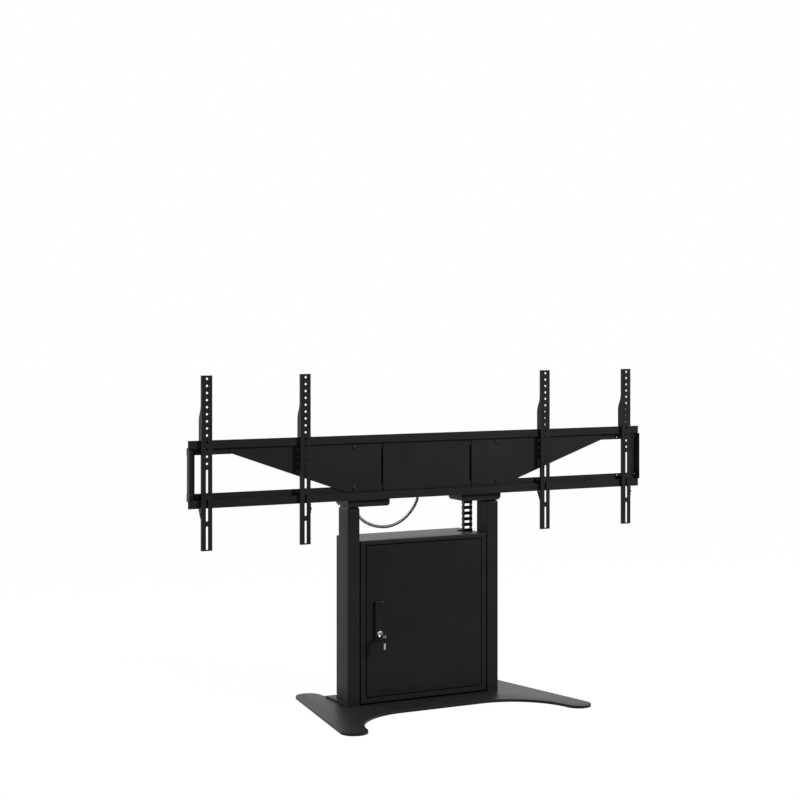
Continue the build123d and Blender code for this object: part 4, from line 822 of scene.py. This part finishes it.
# %% Threaded spindles
def threaded_rod(name, x, y, low_z, high_z, crest_r, depth, lead, steps=20, rows_a_turn=10):
    """A rod whose radius follows a trapezoid thread of this lead."""
    shape = bmesh.new()
    rows = int((high_z - low_z) / lead * rows_a_turn)
    rings = []
    for row in range(rows + 1):
        z = low_z + (high_z - low_z) * row / rows
        taper = min(row, rows - row, rows_a_turn) / rows_a_turn
        ring = []
        for i in range(steps):
            phase = (z / lead * 2 - i / steps) % 1.0
            rise = min(max(abs(phase - 0.5) * 5.0 - 0.75, 0.0), 1.0)
            radius = crest_r - depth * (1 - taper * (1 - rise))
            angle = 2 * math.pi * i / steps
            ring.append(shape.verts.new((x + radius * math.cos(angle), y + radius * math.sin(angle), z)))
        rings.append(ring)
    for low, high in zip(rings, rings[1:]):
        for i in range(steps):
            j = (i + 1) % steps
            shape.faces.new((low[i], low[j], high[j], high[i]))
    shape.faces.new(rings[0])
    shape.faces.new(rings[-1])
    return finished_mesh(name, shape, 60.0)


crest_r, thread_depth, thread_lead = 7.0 * mm, 1.2 * mm, 10.0 * mm
for side in ("left", "right"):
    node = "spindle_" + side
    low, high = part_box(node)
    middle = (low + high) / 2
    rod = threaded_rod(node + "_piece", middle.x, middle.y, low.z, high.z, crest_r, thread_depth,
                       thread_lead)
    link_piece(node + "_piece", rod, node, "steel", node)
print("spindle faces:", len(rod.polygons))

# %% [markdown]
# The floor is a plain white plane that runs to the horizon. The camera sees it, and the sky, as white
# light, while a faint share of the plane's own shading keeps the soft shadow under the foot plate.

# %% Floor
floor_mesh = bpy.data.meshes.new("floor")
floor_half = 30.0
floor_z = -0.0004
floor_glow, glow_share = 1.04, 0.95
floor_mesh.from_pydata([(-floor_half, -floor_half, floor_z), (floor_half, -floor_half, floor_z),
                        (floor_half, floor_half, floor_z), (-floor_half, floor_half, floor_z)],
                       [], [(0, 1, 2, 3)])
floor = bpy.data.objects.new("floor", floor_mesh)
scene.collection.objects.link(floor)
floor_paint = bpy.data.materials.new("floor_white")
floor_paint.use_nodes = True
floor_nodes = floor_paint.node_tree.nodes
floor_links = floor_paint.node_tree.links
floor_nodes.clear()
shaded = floor_nodes.new("ShaderNodeBsdfDiffuse")
shaded.inputs["Color"].default_value = (0.8, 0.8, 0.8, 1.0)
glowing = floor_nodes.new("ShaderNodeEmission")
glowing.inputs["Color"].default_value = (1.0, 1.0, 1.0, 1.0)
glowing.inputs["Strength"].default_value = floor_glow
rays = floor_nodes.new("ShaderNodeLightPath")
seen = floor_nodes.new("ShaderNodeMath")
seen.operation = "MAXIMUM"
keep_shadow = floor_nodes.new("ShaderNodeMath")
keep_shadow.operation = "MULTIPLY"
keep_shadow.inputs[1].default_value = glow_share
blend = floor_nodes.new("ShaderNodeMixShader")
floor_out = floor_nodes.new("ShaderNodeOutputMaterial")
floor_links.new(rays.outputs["Is Camera Ray"], seen.inputs[0])
floor_links.new(rays.outputs["Is Glossy Ray"], seen.inputs[1])
floor_links.new(seen.outputs["Value"], keep_shadow.inputs[0])
floor_links.new(keep_shadow.outputs["Value"], blend.inputs["Fac"])
floor_links.new(shaded.outputs["BSDF"], blend.inputs[1])
floor_links.new(glowing.outputs["Emission"], blend.inputs[2])
floor_links.new(blend.outputs["Shader"], floor_out.inputs["Surface"])
floor_mesh.materials.append(floor_paint)

# %% [markdown]
# A black part has little colour of its own, so it shows what it reflects. In an all white room its front
# looks grey and flat. Two black cards, one lying on the floor before the lift and one standing at its
# far edge, are seen by reflections alone. They keep the fronts dark and stay out of the picture.

# %% Black cards
black_card = bpy.data.materials.new("black_card")
black_card.use_nodes = True
black_card.node_tree.nodes["Principled BSDF"].inputs["Base Color"].default_value = (0.0, 0.0, 0.0, 1.0)
black_card.node_tree.nodes["Principled BSDF"].inputs["Specular IOR Level"].default_value = 0.0
card_left, card_right, card_near, card_far = -0.6, 9.0, -0.75, -5.2
card_bottom, card_top = 0.002, 4.0
card_corners = {
    "upright_card": [(card_left, card_far, card_bottom), (card_right, card_far, card_bottom),
                     (card_right, card_far, card_top), (card_left, card_far, card_top)],
    "lying_card": [(card_left, card_far, card_bottom), (card_right, card_far, card_bottom),
                   (card_right, card_near, card_bottom), (card_left, card_near, card_bottom)],
}
for name, corners in card_corners.items():
    card_mesh = bpy.data.meshes.new(name)
    card_mesh.from_pydata(corners, [], [(0, 1, 2, 3)])
    card_mesh.materials.append(black_card)
    card = bpy.data.objects.new(name, card_mesh)
    scene.collection.objects.link(card)
    card.visible_camera = False
    card.visible_diffuse = False
    card.visible_shadow = False

# %% [markdown]
# The white room gives only faint light to matt surfaces, so folds and grooves stay dark, and strong
# light to gloss, so the lid and the foot plate turn pale at flat angles. Two soft lamps do the rest: a large
# one lights the sides that face left, and a small one, high in front, casts the arms' shadows.

# %% World and lamps
room_for_matt, room_for_gloss = 0.12, 1.35
lift_middle = Vector((0.0, 0.0, 0.8))
world = bpy.data.worlds.new("white_room")
scene.world = world
world.use_nodes = True
background = world.node_tree.nodes["Background"]
background.inputs["Color"].default_value = (1.0, 1.0, 1.0, 1.0)
world_nodes = world.node_tree.nodes
world_links = world.node_tree.links
world_rays = world_nodes.new("ShaderNodeLightPath")
gloss_share = world_nodes.new("ShaderNodeMapRange")
gloss_share.inputs["To Min"].default_value = room_for_matt
gloss_share.inputs["To Max"].default_value = room_for_gloss
room_light = world_nodes.new("ShaderNodeMath")
room_light.operation = "MAXIMUM"
world_links.new(world_rays.outputs["Is Glossy Ray"], gloss_share.inputs["Value"])
world_links.new(gloss_share.outputs["Result"], room_light.inputs[0])
world_links.new(world_rays.outputs["Is Camera Ray"], room_light.inputs[1])
world_links.new(room_light.outputs["Value"], background.inputs["Strength"])


def soft_box(name, place, width, height, watts):
    """A soft rectangular lamp that faces the lift."""
    lamp_data = bpy.data.lights.new(name, "AREA")
    lamp_data.shape = "RECTANGLE"
    lamp_data.size = width
    lamp_data.size_y = height
    lamp_data.energy = watts
    lamp = bpy.data.objects.new(name, lamp_data)
    lamp.location = place
    lamp.rotation_euler = (lift_middle - lamp.location).to_track_quat("-Z", "Y").to_euler()
    scene.collection.objects.link(lamp)


soft_box("side_light", (-3.8, 0.9, 1.2), 2.6, 1.8, 90.0)
soft_box("front_light", (3.6, -4.2, 3.6), 0.9, 0.6, 300.0)
scene.view_settings.view_transform = "Standard"
